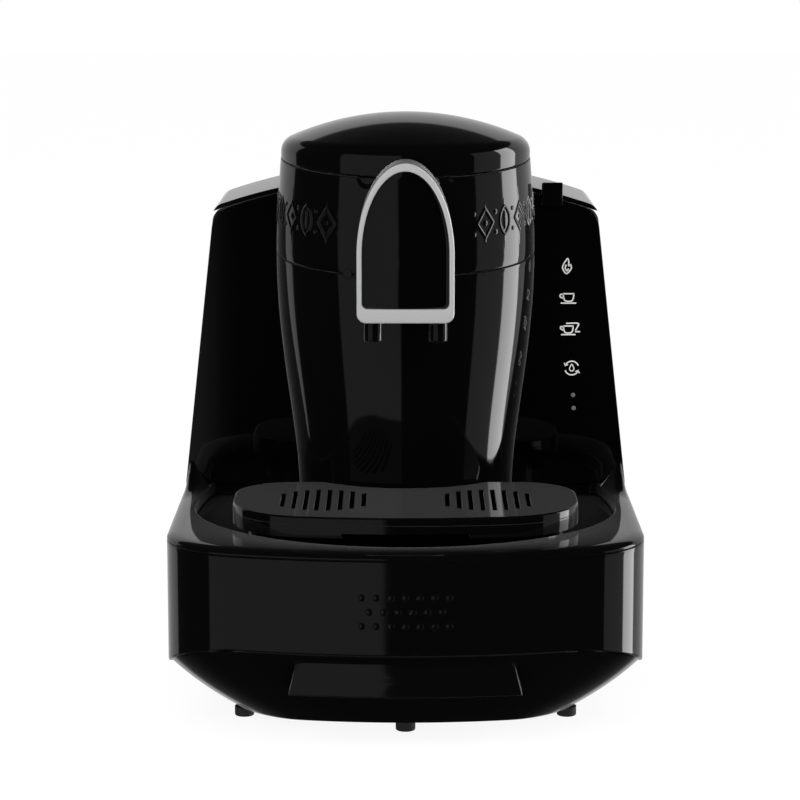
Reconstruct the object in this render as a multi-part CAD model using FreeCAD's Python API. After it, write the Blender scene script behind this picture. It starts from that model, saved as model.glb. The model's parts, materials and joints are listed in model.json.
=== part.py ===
# Electric turkish coffee maker: two cups, brew tower with a spout nose, rear water tank.
# Millimetres. +X is the user's right, +Y the back, +Z up. Origin: bottom centre of the box.
import FreeCAD
import Part
import math
import os

os.makedirs("parts", exist_ok=True)
V = FreeCAD.Vector

# Overall size
body_width = 250.0
body_depth = 270.0
body_height = 315.0
foot_height = 5.0
half_width = body_width / 2
dot_rise = 0.9
front_y = -body_depth / 2 + dot_rise
rear_y = body_depth / 2

# Walls and clearances
wall = 2.5
seam_gap = 0.6
slide_gap = 0.5
fit_gap = 0.3
part_line = 0.4

# Blocks that cut right through the part reach this far
beyond = 600.0

# Plan outline of the base
front_radius = 330.0
corner_radius = 48.0
rear_corner_radius = 24.0

# Base heights
crease_side_z = 33.0
crease_front_z = 50.6
crease_gap = 3.0
crease_bend_run = 12.5
crease_fall_run = 59.0
drawer_top_z = 99.7
deck_z = 103.8
shoulder_radius = 3.0
drawer_end_y = front_y + 72.1

# Bowl of the lower hull: inset of the plan outline at each height
bowl_foot_inset_side = 32.5
bowl_foot_inset_front = 37.3
bowl_mid_z = 19.0
bowl_mid_inset_side = 14.5
bowl_mid_inset_front = 24.5
bowl_top_z = 53.0
bowl_top_flare_side = 12.0
bowl_top_inset_front = -1.6
bowl_opening_inset = 16.0
plate_inset = 8.0

# Apron under the drawer
apron_top_z = 46.0
apron_bottom_z = 28.0
apron_top_half = 55.3
apron_bottom_half = 59.8
apron_inset = 2.6
apron_corner = 4.0
apron_reach = 50.0

# Feet and their screws
foot_radius = 5.2
foot_edge = 0.8
foot_screw_radius = 1.5
foot_hole_radius = 1.8
foot_screw_head = 2.6
foot_screw_head_height = 1.6
foot_screw_start = 3.7
front_foot_y = front_y + 42.1
side_foot_x = half_width - 39.0
side_foot_y = front_y + 70.1
rear_foot_x = half_width - 47.0
rear_foot_y = rear_y - 51.0
foot_places = [
    (0.0, front_foot_y),
    (-side_foot_x, side_foot_y),
    (side_foot_x, side_foot_y),
    (-rear_foot_x, rear_foot_y),
    (rear_foot_x, rear_foot_y),
]

# Tower: its axis is set from the rear, because tank and housing stand behind it
tower_y = rear_y - 103.0
tower_foot_radius = 59.5
tower_waist_z = 158.0
tower_waist_radius = 64.6
tower_seam_radius = 71.3
tower_lid_radius = 68.5
tower_top_radius = 66.7
tower_back_y = tower_y + 52.0
lid_rise = 24.5
collar_rise = 52.1
lid_seam_z = body_height - lid_rise
lower_seam_z = lid_seam_z - collar_rise
seam_tilt = 5.1
spigot = 1.8
spigot_reach = 5.0
lid_dome_radius = 159.0
lid_shoulder = 9.0
lid_wall = 2.4
liner_low = 1.5
liner_thickness = 2.0
gasket_height = 2.7
gasket_stock = 6.0
collar_notches = [(-26.0, -16.0), (17.0, 25.0)]
collar_notch_low = 6.5

# Drip well in the deck
well_half_width = half_width - 10.4
well_front_y = front_y + 16.1
well_centre_y = tower_y - 44.0
well_front_reach = well_centre_y - well_front_y
well_rear_reach = 177.0
well_floor_z = 97.0
drain_slot_length = 34.0
drain_slot_width = 5.0
drain_offset = 8.0
cable_half = 22.0

# Drawer
drawer_wall = 3.0
reservoir_half = half_width - 39.0
reservoir_rear_y = drawer_end_y + 56.0
reservoir_floor_z = 56.0
reservoir_top_z = 91.0
reservoir_wall = 2.0
dot_radius = 1.9
dot_root = 1.0
dot_pitch = 7.4
dot_low_z = 66.1
dot_row_pitch = 7.4
dot_row_counts = (7, 6, 7)
rail_width = 6.0
rail_height = 4.0
rail_ledge = 8.0
rail_front_gap = 2.0
rail_tail = 12.0

# Flares beside the wings
flare_run = 46.0
flare_rise = 14.0
flare_toe = 1.0

# Spout nose
nose_y = tower_y - 102.0
nose_half = 25.4
nose_bottom_z = lid_seam_z - 78.7
nose_arc_z = lid_seam_z - 43.5
nose_top_z = lid_seam_z + 4.2
nose_corner = 5.0
nose_root = 40.0
nose_lid_gap = 1.5
frame_side = 2.6
frame_top = 3.9
frame_bottom = 7.3
frame_depth = 4.5
frame_corner = 3.0
panel_recess = 1.0
panel_gap = 0.1
nose_wall = 2.5
nozzle_x = 17.1
nozzle_y = nose_y + 10.0
nozzle_radius = 4.85
nozzle_neck = 3.35
nozzle_bore = 2.6
nozzle_bottom_z = nose_bottom_z - 10.6
nozzle_edge = 1.0

# Cup platform
platform_half = half_width - 34.0
platform_front_y = front_y + 24.1
platform_rear_y = tower_y - 46.0
platform_corner = 42.0
platform_rear_corner = 30.0
platform_tower_gap = 4.0
platform_top_z = 116.9
platform_seam_z = 112.6
platform_foot_z = 106.0
platform_leg_inset = 8.0
platform_ledge = 2.0
platform_edge = 1.2
plate_thickness = 2.2
notch_half = 33.0
notch_height = 2.5
slot_pitch = 6.1
slot_width = 2.6
slot_count = 8
cup_x = 43.5
cup_y = nozzle_y - 3.0
slot_circle = 27.0

# Rear housing, shields and tank
shield_y = tower_y + 14.0
shield_thickness = 2.8
housing_front_y = shield_y + shield_thickness
wing_foot_half = half_width - 0.4
wing_top_half = wing_foot_half - 17.2
wing_foot_z = 104.0
wing_crown_z = lid_seam_z - 10.5
wing_corner_z = wing_crown_z - 18.0
wing_waist_z = (wing_foot_z + wing_corner_z) / 2
wing_crown_radius = 320.0
wing_corner_radius = 8.0
cover_thickness = 2.6
cover_drop = cover_thickness + part_line
tank_gap = 1.5
tank_rear_y = rear_y - 5.5
housing_back_y = tank_rear_y - 32.5
tank_front_y = housing_back_y + tank_gap
tank_wall = 2.2
tank_inset = 1.0
tank_bottom_z = 104.3
tank_mouth_rise = 17.0
channel_gap = 0.9
valve_radius = 7.0
valve_bore = 4.5
valve_length = 8.0
valve_x = 40.0
dock_y = (tank_front_y + tank_rear_y) / 2
dock_depth = 12.0
dock_floor = 2.0
dock_hole = 1.5
dock_hole_offset = 4.0
tab_left = wing_top_half - 31.5
tab_right = tab_left + 11.7
tab_top_z = wing_crown_z - 5.0
tab_bottom_z = wing_crown_z - 18.0
tab_thickness = 2.2
tab_edge = 0.9

# Hinges
lid_axis_y = tower_back_y + 3.0
lid_axis_z = lid_seam_z + 7.0
knuckle_radius = 2.6
pin_radius = 1.4
pin_clearance = 0.08
ear_x = 27.0
ear_length = 10.0
ear_reach = 9.0
lid_knuckle_reach = 4.5
cover_axis_y = tank_rear_y + 2.7
cover_axis_z = wing_crown_z - 21.0
cover_knuckle_x = 60.0
cover_knuckle_length = 10.0
cover_ear_length = 5.0

# Brewing parts
pot_radius = 44.0
pot_y = tower_y - 8.0
pot_wall = 1.2
pot_floor_z = lid_seam_z - 64.5
pot_rim_z = lid_seam_z - 11.5
pot_flange = 4.0
rim_thickness = 2.5
heater_height = 9.0
heater_radius = 40.0
bracket_front = 4.0
bracket_back = 16.0
bracket_thickness = 3.0
sensor_x = 12.0
sensor_radius = 3.0
sensor_hole = 3.2
sensor_length = 14.0
outlet_valve_y = pot_y - 30.0
outlet_valve_radius = 7.0
outlet_valve_height = 16.0
outlet_valve_bore = 3.4
outlet_radius = 4.0
outlet_z = pot_floor_z - 4.0
outlet_pipe_radius = 3.5
outlet_pipe_bore = 2.5
inlet_x = -30.0
inlet_z = pot_floor_z + 6.0
tube_hole = 3.4

# Electrics
board_thickness = 1.6
board_gap = 2.0
icon_top_x = wing_top_half - 16.9
icon_top_z = wing_corner_z - 34.1
icon_drops = (0.0, 17.9, 35.5, 57.7)
icon_lean = 0.055
icon_pad_radius = 3.0
lamp_drops = (73.1, 80.6)
lamp_radius = 1.25
lamp_depth = 2.0
board_left_x = icon_top_x - 6.5
board_right_x = icon_top_x + 10.5
board_low_z = wing_corner_z - 116.0
board_high_z = wing_corner_z - 22.0
power_x = (-70.0, 20.0)
power_y = (tower_y - 12.0, tower_y + 58.0)
power_z = 40.0
relay_size = (18.0, 16.0, 14.4)
relay_offset = (10.0, 20.0)
capacitor_radius = 7.0
capacitor_height = 16.0
capacitor_offset = (55.0, 40.0)
post_radius = 3.5
post_inset = 4.0
gland_radius = 6.0
gland_flange = 3.0
gland_bore = 3.4
gland_x = -70.0
gland_z = 60.0
screw_radius = 1.5
screw_head_height = 1.8
screw_x = wing_foot_half - 16.6
screw_y = (shield_y + 20.0, shield_y + 42.0)
screw_places = [(side * screw_x, y) for side in (-1, 1) for y in screw_y]

# Pump and tubes
pump_radius = 14.0
pump_x = 35.0 - half_width
pump_y = shield_y + 26.0
pump_low_z = 120.0
pump_length = 62.0
pump_neck_radius = 4.0
pump_neck = 10.0
pump_inlet = 8.0
coil_half_x = 12.0
coil_half_y = 17.0
coil_low = 14.0
coil_high = 48.0
mount_wall = 2.5
mount_height = 5.0
mount_half = 4.0
mount_lifts = (4.0, 52.0)
tube_radius = 2.5
suction_z = 70.0
suction_bend = 10.0
delivery_bend = 4.5
delivery_back = 5.5


def box(x0, x1, y0, y1, z0, z1):
    return Part.makeBox(x1 - x0, y1 - y0, z1 - z0, V(x0, y0, z0))


def cyl(radius, length, base, axis=V(0, 0, 1)):
    return Part.makeCylinder(radius, length, base, axis)


def tube(outer, inner, length, base, axis=V(0, 0, 1)):
    return cyl(outer, length, base, axis).cut(cyl(inner, length, base, axis))


def mirrored(shape):
    return shape.mirror(V(0, 0, 0), V(1, 0, 0))


def fuse_all(shapes):
    return shapes[0].multiFuse(shapes[1:]).removeSplitter() if len(shapes) > 1 else shapes[0]


def save(name, shape):
    shape.exportStep("parts/" + name + ".step")
    print(name, "solids", len(shape.Solids), "volume", round(shape.Volume))


# Plan outline: front arc, two front corners, straight sides, rounded rear corners
def plan_wire(half, front, arc, corner, rear, rear_corner, z):
    centre_y = front + arc
    corner_x = half - corner
    corner_y = centre_y - math.sqrt((arc - corner) ** 2 - corner_x ** 2)
    spread = arc / (arc - corner)
    touch = V(corner_x * spread, centre_y - (centre_y - corner_y) * spread, z)
    aim = math.atan2(corner_y - touch.y, touch.x - corner_x) / 2
    mid = V(corner_x + corner * math.cos(aim), corner_y - corner * math.sin(aim), z)
    side = V(half, corner_y, z)
    back = V(half, rear - rear_corner, z)
    slant = rear_corner * math.sqrt(0.5)
    back_mid = V(half - rear_corner + slant, rear - rear_corner + slant, z)
    back_end = V(half - rear_corner, rear, z)

    def flip(p):
        return V(-p.x, p.y, p.z)

    edges = [
        Part.Arc(flip(touch), V(0, front, z), touch).toShape(),
        Part.Arc(touch, mid, side).toShape(),
        Part.LineSegment(side, back).toShape(),
        Part.Arc(back, back_mid, back_end).toShape(),
        Part.LineSegment(back_end, flip(back_end)).toShape(),
        Part.Arc(flip(back_end), flip(back_mid), flip(back)).toShape(),
        Part.LineSegment(flip(back), flip(side)).toShape(),
        Part.Arc(flip(side), flip(mid), flip(touch)).toShape(),
    ]
    return Part.Wire(edges)


def base_wire(z, inset_side, inset_front, inset_corner):
    return plan_wire(half_width - inset_side, front_y + inset_front, front_radius - inset_front,
                     corner_radius - inset_corner, rear_y - inset_side,
                     max(rear_corner_radius - inset_corner, 2.0), z)


def base_prism(inset, z0, z1):
    wire = base_wire(z0, inset, inset, inset)
    return Part.Face(wire).extrude(V(0, 0, z1 - z0))


# The hull is a bowl of lofted outlines, kept inside the vertical walls of the base
def hull_body(inset, z0):
    foot = base_wire(z0, bowl_foot_inset_side + inset, bowl_foot_inset_front + inset, 0.0)
    middle = base_wire(bowl_mid_z, bowl_mid_inset_side + inset, bowl_mid_inset_front + inset, 0.0)
    top = base_wire(bowl_top_z, inset - bowl_top_flare_side, bowl_top_inset_front + inset, 0.0)
    bowl = Part.makeLoft([foot, middle, top], True, False)
    return bowl.common(base_prism(inset, z0, bowl_top_z + 1))


# Space below the crease line: level at the front, falling round the corner, level at the side
def crease_block(drop):
    low = -10.0
    corner_y = front_y + crease_bend_run
    side_y = front_y + crease_fall_run
    reach = half_width + 20
    points = [
        V(-reach, front_y - 20, low), V(-reach, front_y - 20, crease_front_z - drop),
        V(-reach, corner_y, crease_front_z - drop), V(-reach, side_y, crease_side_z - drop),
        V(-reach, drawer_end_y, crease_side_z - drop), V(-reach, drawer_end_y, low),
    ]
    face = Part.Face(Part.makePolygon(points + points[:1]))
    return face.extrude(V(2 * reach, 0, 0))


# Barrel of the tower: a turned profile with a flat back
def tower_body(inset, extra_height=0.0):
    top_z = body_height + extra_height
    profile = [
        V(tower_foot_radius - inset, tower_y, well_floor_z),
        V(tower_waist_radius - inset, tower_y, tower_waist_z),
        V(tower_seam_radius - inset, tower_y, lower_seam_z + 4),
        V(tower_lid_radius - inset, tower_y, lid_seam_z + 2),
        V(tower_top_radius - inset, tower_y, top_z),
    ]
    curve = Part.BSplineCurve()
    curve.interpolate(profile)
    axis_low = V(0, tower_y, well_floor_z)
    axis_high = V(0, tower_y, top_z)
    edges = [
        Part.LineSegment(axis_low, profile[0]).toShape(),
        curve.toShape(),
        Part.LineSegment(profile[-1], axis_high).toShape(),
        Part.LineSegment(axis_high, axis_low).toShape(),
    ]
    return Part.Face(Part.Wire(edges)).revolve(V(0, tower_y, 0), V(0, 0, 1), 360)


def flat_backed(shape, inset):
    return shape.common(box(-half_width, half_width, front_y, tower_back_y - inset, 0, beyond))


# Everything below, or above, a seam plane that falls to the front
def below_seam(z):
    block = box(-beyond, beyond, -beyond, beyond, -beyond, 0)
    block.rotate(V(0, 0, 0), V(1, 0, 0), seam_tilt)
    block.translate(V(0, tower_y, z))
    return block


def above_seam(z):
    block = box(-beyond, beyond, -beyond, beyond, 0, beyond)
    block.rotate(V(0, 0, 0), V(1, 0, 0), seam_tilt)
    block.translate(V(0, tower_y, z))
    return block


def tower_radius(z):
    ring = tower_body(0).slice(V(0, 0, 1), z)[0]
    return ring.BoundBox.XLength / 2


# Arch outline of the spout nose, at one y
def arch_face(half, bottom, top, corner, y):
    low_left = V(-half + corner, y, bottom)
    low_right = V(half - corner, y, bottom)
    bend = corner * (1 - math.sqrt(0.5))
    arc_left = V(-half, y, nose_arc_z)
    arc_right = V(half, y, nose_arc_z)
    rise = top - nose_arc_z
    if rise > half:
        oval = Part.Ellipse(V(0, y, top), V(half, y, nose_arc_z), V(0, y, nose_arc_z))
    else:
        oval = Part.Ellipse(arc_right, V(0, y, top), V(0, y, nose_arc_z))
    start = oval.parameter(arc_right)
    end = oval.parameter(arc_left)
    arch = Part.Edge(oval, start, end) if start < end else Part.Edge(oval, start, end + 2 * math.pi)
    if abs(arch.CenterOfMass.z) < nose_arc_z:
        arch = Part.Edge(oval, end, start)
    edges = [
        arch,
        Part.LineSegment(arc_left, V(-half, y, bottom + corner)).toShape(),
        Part.Arc(V(-half, y, bottom + corner), V(-half + bend, y, bottom + bend), low_left).toShape(),
        Part.LineSegment(low_left, low_right).toShape(),
        Part.Arc(low_right, V(half - bend, y, bottom + bend), V(half, y, bottom + corner)).toShape(),
        Part.LineSegment(V(half, y, bottom + corner), arc_right).toShape(),
    ]
    return Part.Face(Part.Wire(Part.__sortEdges__(edges)))


def arch_prism(inset, y0, y1):
    face = arch_face(nose_half - inset, nose_bottom_z + inset, nose_top_z - inset,
                     max(nose_corner - inset, 1.0), y0)
    return face.extrude(V(0, y1 - y0, 0))


def crown_z(x, drop):
    return wing_crown_z - wing_crown_radius + math.sqrt(wing_crown_radius ** 2 - x ** 2) - drop


# Shield outline seen from the front: slanted sides and a shallow crown
def wing_prism(inset, drop, z0, y0, y1, corner):
    lean = (wing_foot_half - wing_top_half) / (wing_corner_z - wing_foot_z)
    foot = wing_foot_half - inset - lean * (z0 - wing_foot_z)
    top_half = wing_top_half - inset
    top = crown_z(top_half, drop)
    edges = [
        Part.LineSegment(V(-foot, y0, z0), V(foot, y0, z0)).toShape(),
        Part.LineSegment(V(foot, y0, z0), V(top_half, y0, top)).toShape(),
        Part.Arc(V(top_half, y0, top), V(0, y0, crown_z(0, drop)), V(-top_half, y0, top)).toShape(),
        Part.LineSegment(V(-top_half, y0, top), V(-foot, y0, z0)).toShape(),
    ]
    solid = Part.Face(Part.Wire(edges)).extrude(V(0, y1 - y0, 0))
    if corner > 0:
        length = y1 - y0
        picked = [e for e in solid.Edges if abs(e.BoundBox.YLength - length) < 0.01
                  and e.BoundBox.ZMin > wing_waist_z and abs(e.CenterOfMass.x) > 10]
        solid = solid.makeFillet(corner, picked)
    return solid


# Base
def build_base_shell():
    hull = hull_body(0, foot_height).cut(hull_body(wall, foot_height + wall))
    under_drawer = crease_block(crease_gap)
    behind = box(-half_width - 1, half_width + 1, drawer_end_y, rear_y + 1, 0, crease_side_z)
    hull = hull.common(under_drawer.fuse(behind))
    strip = drawer_wall + slide_gap
    for side in (-1, 1):
        near = side * (half_width - strip)
        far = side * (half_width + 1)
        hull = hull.cut(box(min(near, far), max(near, far), front_y, drawer_end_y,
                            crease_side_z - slide_gap, bowl_top_z + 5))
    y0 = front_y - 1
    trapezoid = Part.Face(Part.makePolygon([
        V(-apron_top_half, y0, apron_top_z), V(apron_top_half, y0, apron_top_z),
        V(apron_bottom_half, y0, apron_bottom_z), V(-apron_bottom_half, y0, apron_bottom_z),
        V(-apron_top_half, y0, apron_top_z)]))
    apron = trapezoid.extrude(V(0, apron_reach, 0))
    long_edges = [e for e in apron.Edges if e.BoundBox.YLength > apron_reach / 2
                  and e.CenterOfMass.z > apron_bottom_z + 1]
    apron = apron.makeFillet(apron_corner, long_edges)
    face_arc = cyl(front_radius - apron_inset, deck_z, V(0, front_y + front_radius, 0))
    apron = apron.common(face_arc).cut(hull_body(wall / 2, foot_height))
    hull = hull.fuse(max(apron.Solids, key=lambda s: s.Volume)).removeSplitter()
    opening = base_wire(0, bowl_foot_inset_side + bowl_opening_inset,
                        bowl_foot_inset_front + bowl_opening_inset, bowl_opening_inset - 4)
    hull = hull.cut(Part.Face(opening).extrude(V(0, 0, foot_height + wall + 0.5)))
    for x, y in foot_places:
        hull = hull.cut(cyl(foot_hole_radius, deck_z / 4, V(x, y, 0)))
    return hull


def build_base_plate():
    wire = base_wire(foot_height + wall, bowl_foot_inset_side + plate_inset,
                     bowl_foot_inset_front + plate_inset, plate_inset)
    plate = Part.Face(wire).extrude(V(0, 0, wall))
    for x, y in foot_places:
        plate = plate.cut(cyl(foot_hole_radius, deck_z / 4, V(x, y, 0)))
    return plate


def build_feet():
    feet = []
    for x, y in foot_places:
        pad = cyl(foot_radius, foot_height, V(x, y, 0))
        rim = [e for e in pad.Edges if e.Length > foot_radius and e.BoundBox.ZMax < 0.1]
        hole = cyl(foot_hole_radius, foot_height, V(x, y, foot_height / 2))
        feet.append(pad.makeFillet(foot_edge, rim).cut(hole))
    return Part.makeCompound(feet)


def build_foot_screws():
    screws = []
    for x, y in foot_places:
        shank = cyl(foot_screw_radius, foot_height + wall, V(x, y, foot_screw_start))
        head = cyl(foot_screw_head, foot_screw_head_height, V(x, y, foot_height + 2 * wall))
        screws.append(shank.fuse(head))
    return Part.makeCompound(screws)


# Ellipse with one half-axis along X and the other along Y
def flat_oval(centre, half_x, half_y):
    tip_x = centre + V(half_x, 0, 0)
    tip_y = centre + V(0, half_y, 0)
    if half_x > half_y:
        return Part.Ellipse(tip_x, tip_y, centre)
    return Part.Ellipse(tip_y, centre - V(half_x, 0, 0), centre)


# Drip well: a short half ellipse to the front and a long one to the rear, ended at the shields
def well_prism(inset, z0, z1):
    centre = V(0, well_centre_y, z0)
    up = V(0, 0, z1 - z0)
    front = flat_oval(centre, well_half_width - inset, well_front_reach - inset)
    rear = flat_oval(centre, well_half_width - inset, well_rear_reach - inset)
    front_half = Part.Face(Part.Wire(front.toShape())).extrude(up)
    front_half = front_half.common(box(-beyond, beyond, -beyond, well_centre_y, z0, z1))
    rear_half = Part.Face(Part.Wire(rear.toShape())).extrude(up)
    rear_half = rear_half.common(box(-beyond, beyond, well_centre_y, housing_front_y + inset, z0, z1))
    return front_half.fuse(rear_half).removeSplitter()


# Upper housing of the base: deck with its drip well, side walls behind the drawer
def build_base_housing():
    outer = base_prism(0, crease_side_z, deck_z)
    rims = [e for e in outer.Edges if e.BoundBox.ZMin > deck_z - 0.1]
    outer = outer.makeFillet(shoulder_radius, rims)
    hollow = base_prism(wall, crease_side_z - 1, deck_z - wall)
    shell = outer.cut(hollow)
    pan = well_prism(-wall, well_floor_z - wall, deck_z - wall / 2)
    shell = shell.fuse(pan)
    shell = shell.cut(well_prism(0, well_floor_z, deck_z + 1))
    mouth = box(-half_width - 1, half_width + 1, front_y - 1, drawer_end_y + fit_gap,
                crease_side_z - 1, drawer_top_z + slide_gap)
    keep_pan = well_prism(-wall, well_floor_z - wall, deck_z + wall)
    shell = shell.cut(mouth.cut(keep_pan))
    for side in (-1, 1):
        x = side * (cup_x + drain_offset)
        drain = box(x - drain_slot_length / 2, x + drain_slot_length / 2,
                    cup_y - drain_slot_width / 2, cup_y + drain_slot_width / 2,
                    well_floor_z - wall - 1, well_floor_z + 1)
        shell = shell.cut(drain)
    dock = tube(valve_radius + wall + 1, valve_radius + slide_gap, dock_depth,
                V(valve_x, dock_y, deck_z - wall - dock_depth))
    shell = shell.fuse(dock)
    shell = shell.cut(cyl(valve_radius + slide_gap, wall + 2, V(valve_x, dock_y, deck_z - wall - 1)))
    passage = box(-cable_half, cable_half, tower_y - cable_half, tower_y + cable_half,
                  well_floor_z - wall - 1, well_floor_z + 1)
    shell = shell.cut(passage).cut(flat_backed(tower_body(0), 0))
    shell = shell.cut(cyl(gland_radius, 4 * wall, V(gland_x, rear_y - 3 * wall, gland_z), V(0, 1, 0)))
    shell = shell.cut(cyl(tube_hole, 4 * wall, V(pump_x, pump_y, deck_z - 2 * wall)))
    for x, y in screw_places:
        shell = shell.cut(cyl(screw_radius, 4 * wall, V(x, y, deck_z - 2 * wall)))
    return shell


# Flares that carry the wings down into the deck
def build_shoulders():
    x0 = well_half_width + part_line
    toe_y = shield_y - flare_run
    toe = V(x0, toe_y, deck_z + flare_toe)
    top = V(x0, shield_y, deck_z + flare_rise)
    bow = V(x0, toe_y + flare_run * 0.58, deck_z + flare_toe + flare_rise * 0.25)
    profile = Part.Wire([
        Part.LineSegment(V(x0, toe_y, deck_z), toe).toShape(),
        Part.Arc(toe, bow, top).toShape(),
        Part.LineSegment(top, V(x0, shield_y, deck_z)).toShape(),
        Part.LineSegment(V(x0, shield_y, deck_z), V(x0, toe_y, deck_z)).toShape(),
    ])
    return Part.Face(profile).extrude(V(half_width - shoulder_radius - x0, 0, 0))


# Grip dot: a low round button, turned about its own axis, with its root in the skin
def grip_dot(x, z):
    skin_y = front_y + front_radius - math.sqrt(front_radius ** 2 - x ** 2)
    peak = V(x, skin_y - dot_rise, z)
    rim = V(x + dot_radius, skin_y, z)
    mid = V(x + dot_radius * 0.55, skin_y - dot_rise * 0.73, z)
    back = V(x, skin_y + dot_root, z)
    edges = [
        Part.Arc(peak, mid, rim).toShape(),
        Part.LineSegment(rim, V(x + dot_radius, skin_y + dot_root, z)).toShape(),
        Part.LineSegment(V(x + dot_radius, skin_y + dot_root, z), back).toShape(),
        Part.LineSegment(back, peak).toShape(),
    ]
    return Part.Face(Part.Wire(edges)).revolve(V(x, 0, z), V(0, 1, 0), 360)


# Drawer
def build_drawer_front():
    band = base_prism(0, crease_side_z, drawer_top_z)
    band = band.cut(base_prism(drawer_wall, crease_side_z - 1, drawer_top_z + 1))
    band = band.common(box(-beyond, beyond, front_y - 1, drawer_end_y, 0, beyond))
    band = band.cut(crease_block(0))
    for row, count in enumerate(dot_row_counts):
        for i in range(count):
            x = (i - (count - 1) / 2) * dot_pitch
            band = band.fuse(grip_dot(x, dot_low_z + row * dot_row_pitch))
    return band


def reservoir_body(inset, z0, z1):
    body = base_prism(drawer_wall + inset, z0, z1)
    return body.common(box(-reservoir_half + inset, reservoir_half - inset, front_y - 1,
                           reservoir_rear_y - inset, z0 - 1, z1 + 1))


def build_reservoir():
    body = reservoir_body(0, reservoir_floor_z, reservoir_top_z)
    return body.cut(reservoir_body(reservoir_wall, reservoir_floor_z + reservoir_wall, reservoir_top_z + 1))


def build_rails():
    rails = []
    for side in (-1, 1):
        low = reservoir_half + fit_gap
        high = low + rail_width
        x0, x1 = (low, high) if side > 0 else (-high, -low)
        inner0, inner1 = (x0 - rail_ledge, x0) if side > 0 else (x1, x1 + rail_ledge)
        y0 = drawer_end_y + rail_front_gap
        y1 = reservoir_rear_y + rail_tail
        ledge_top = reservoir_floor_z - fit_gap
        web = box(x0, x1, y0, y1, ledge_top - rail_height, well_floor_z - wall)
        ledge = box(inner0, inner1, y0, y1, ledge_top - rail_height, ledge_top)
        rails.append(fuse_all([web, ledge]))
    return Part.makeCompound(rails)


# Cup platform
def platform_prism(inset, z0, z1):
    wire = plan_wire(platform_half - inset, platform_front_y + inset, front_radius - inset,
                     platform_corner - inset, platform_rear_y - inset, platform_rear_corner - inset, z0)
    body = Part.Face(wire).extrude(V(0, 0, z1 - z0))
    return body.cut(cyl(tower_foot_radius + platform_tower_gap + inset, beyond, V(0, tower_y, z0 - 1)))


def build_tray_base():
    low = well_floor_z - 1
    high = platform_top_z + 1
    inner = platform_leg_inset + wall
    ring = platform_prism(0, platform_foot_z, platform_seam_z)
    ring = ring.cut(platform_prism(wall, low, high))
    legs = platform_prism(platform_leg_inset, well_floor_z, platform_foot_z)
    legs = legs.cut(platform_prism(inner, low, high))
    ledge = platform_prism(wall, platform_foot_z, platform_foot_z + platform_ledge)
    body = fuse_all([ring, legs, ledge.cut(platform_prism(inner, low, high))])
    notch = box(-notch_half, notch_half, platform_front_y - 1, platform_front_y + platform_corner / 2,
                platform_foot_z - 1, platform_foot_z + notch_height)
    return body.cut(notch.cut(platform_prism(platform_leg_inset, low, high)))


def build_cup_tray():
    low = well_floor_z - 1
    high = platform_top_z + 1
    skin_z = platform_top_z - plate_thickness
    joint_z = platform_seam_z + part_line
    inner = 2 * wall + fit_gap
    plate = platform_prism(0, joint_z, platform_top_z)
    rims = [e for e in plate.Edges if e.BoundBox.ZMin > platform_top_z - 0.1]
    plate = plate.makeFillet(platform_edge, rims)
    plate = plate.cut(platform_prism(wall, low, skin_z))
    slots = []
    for side in (-1, 1):
        for i in range(slot_count):
            dx = (i - (slot_count - 1) / 2) * slot_pitch
            reach = math.sqrt(slot_circle ** 2 - dx ** 2)
            x = side * cup_x + dx
            slots.append(box(x - slot_width / 2, x + slot_width / 2, cup_y - reach, cup_y + reach,
                             skin_z - 1, high))
    plug = platform_prism(wall + fit_gap, platform_seam_z - platform_ledge, joint_z)
    neck = platform_prism(wall, joint_z, skin_z)
    rim = plug.fuse(neck).cut(platform_prism(inner, low, high))
    return plate.fuse(rim).cut(Part.makeCompound(slots)).removeSplitter()


# Tower
def build_tower_shell():
    outer = flat_backed(tower_body(0), 0)
    inner = flat_backed(tower_body(wall), wall)
    shell = outer.cut(inner).common(below_seam(lower_seam_z))
    hole = cyl(outlet_radius + 1.0, nose_root, V(0, tower_y - tower_seam_radius - wall, outlet_z), V(0, 1, 0))
    entry = cyl(tube_hole, 4 * wall, V(inlet_x, tower_back_y - 2 * wall, inlet_z), V(0, 1, 0))
    return shell.cut(hole).cut(entry)


def build_collar():
    outer = flat_backed(tower_body(0), 0)
    inner = flat_backed(tower_body(wall), wall)
    ring = outer.cut(inner).common(above_seam(lower_seam_z + seam_gap)).common(below_seam(lid_seam_z))
    core = flat_backed(tower_body(wall), wall).cut(flat_backed(tower_body(wall + spigot), wall + spigot))
    core = core.common(above_seam(lower_seam_z - spigot_reach)).common(below_seam(lower_seam_z + spigot_reach))
    ears = []
    for side in (-1, 1):
        x = side * ear_x
        ears.append(knuckle(x - ear_length / 2, ear_length, -ear_reach))
    body = fuse_all([ring, core] + ears)
    notch_low = lid_seam_z - collar_notch_low
    notch_back = tower_y - tower_foot_radius
    notches = [box(x0, x1, front_y, notch_back, notch_low, body_height) for x0, x1 in collar_notches]
    return body.cut(hinge_bore()).cut(Part.makeCompound(notches))


def hinge_bore():
    return cyl(pin_radius + pin_clearance, 4 * ear_x, V(-2 * ear_x, lid_axis_y, lid_axis_z), V(1, 0, 0))


# Hinge knuckle behind the tower: a barrel with a web on the flat back, below or above the axis
def knuckle(x, length, reach):
    barrel = cyl(knuckle_radius, length, V(x, lid_axis_y, lid_axis_z), V(1, 0, 0))
    z0, z1 = sorted((lid_axis_z, lid_axis_z + reach))
    web = box(x, x + length, tower_back_y, lid_axis_y, z0, z1)
    return barrel.fuse(web)


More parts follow.
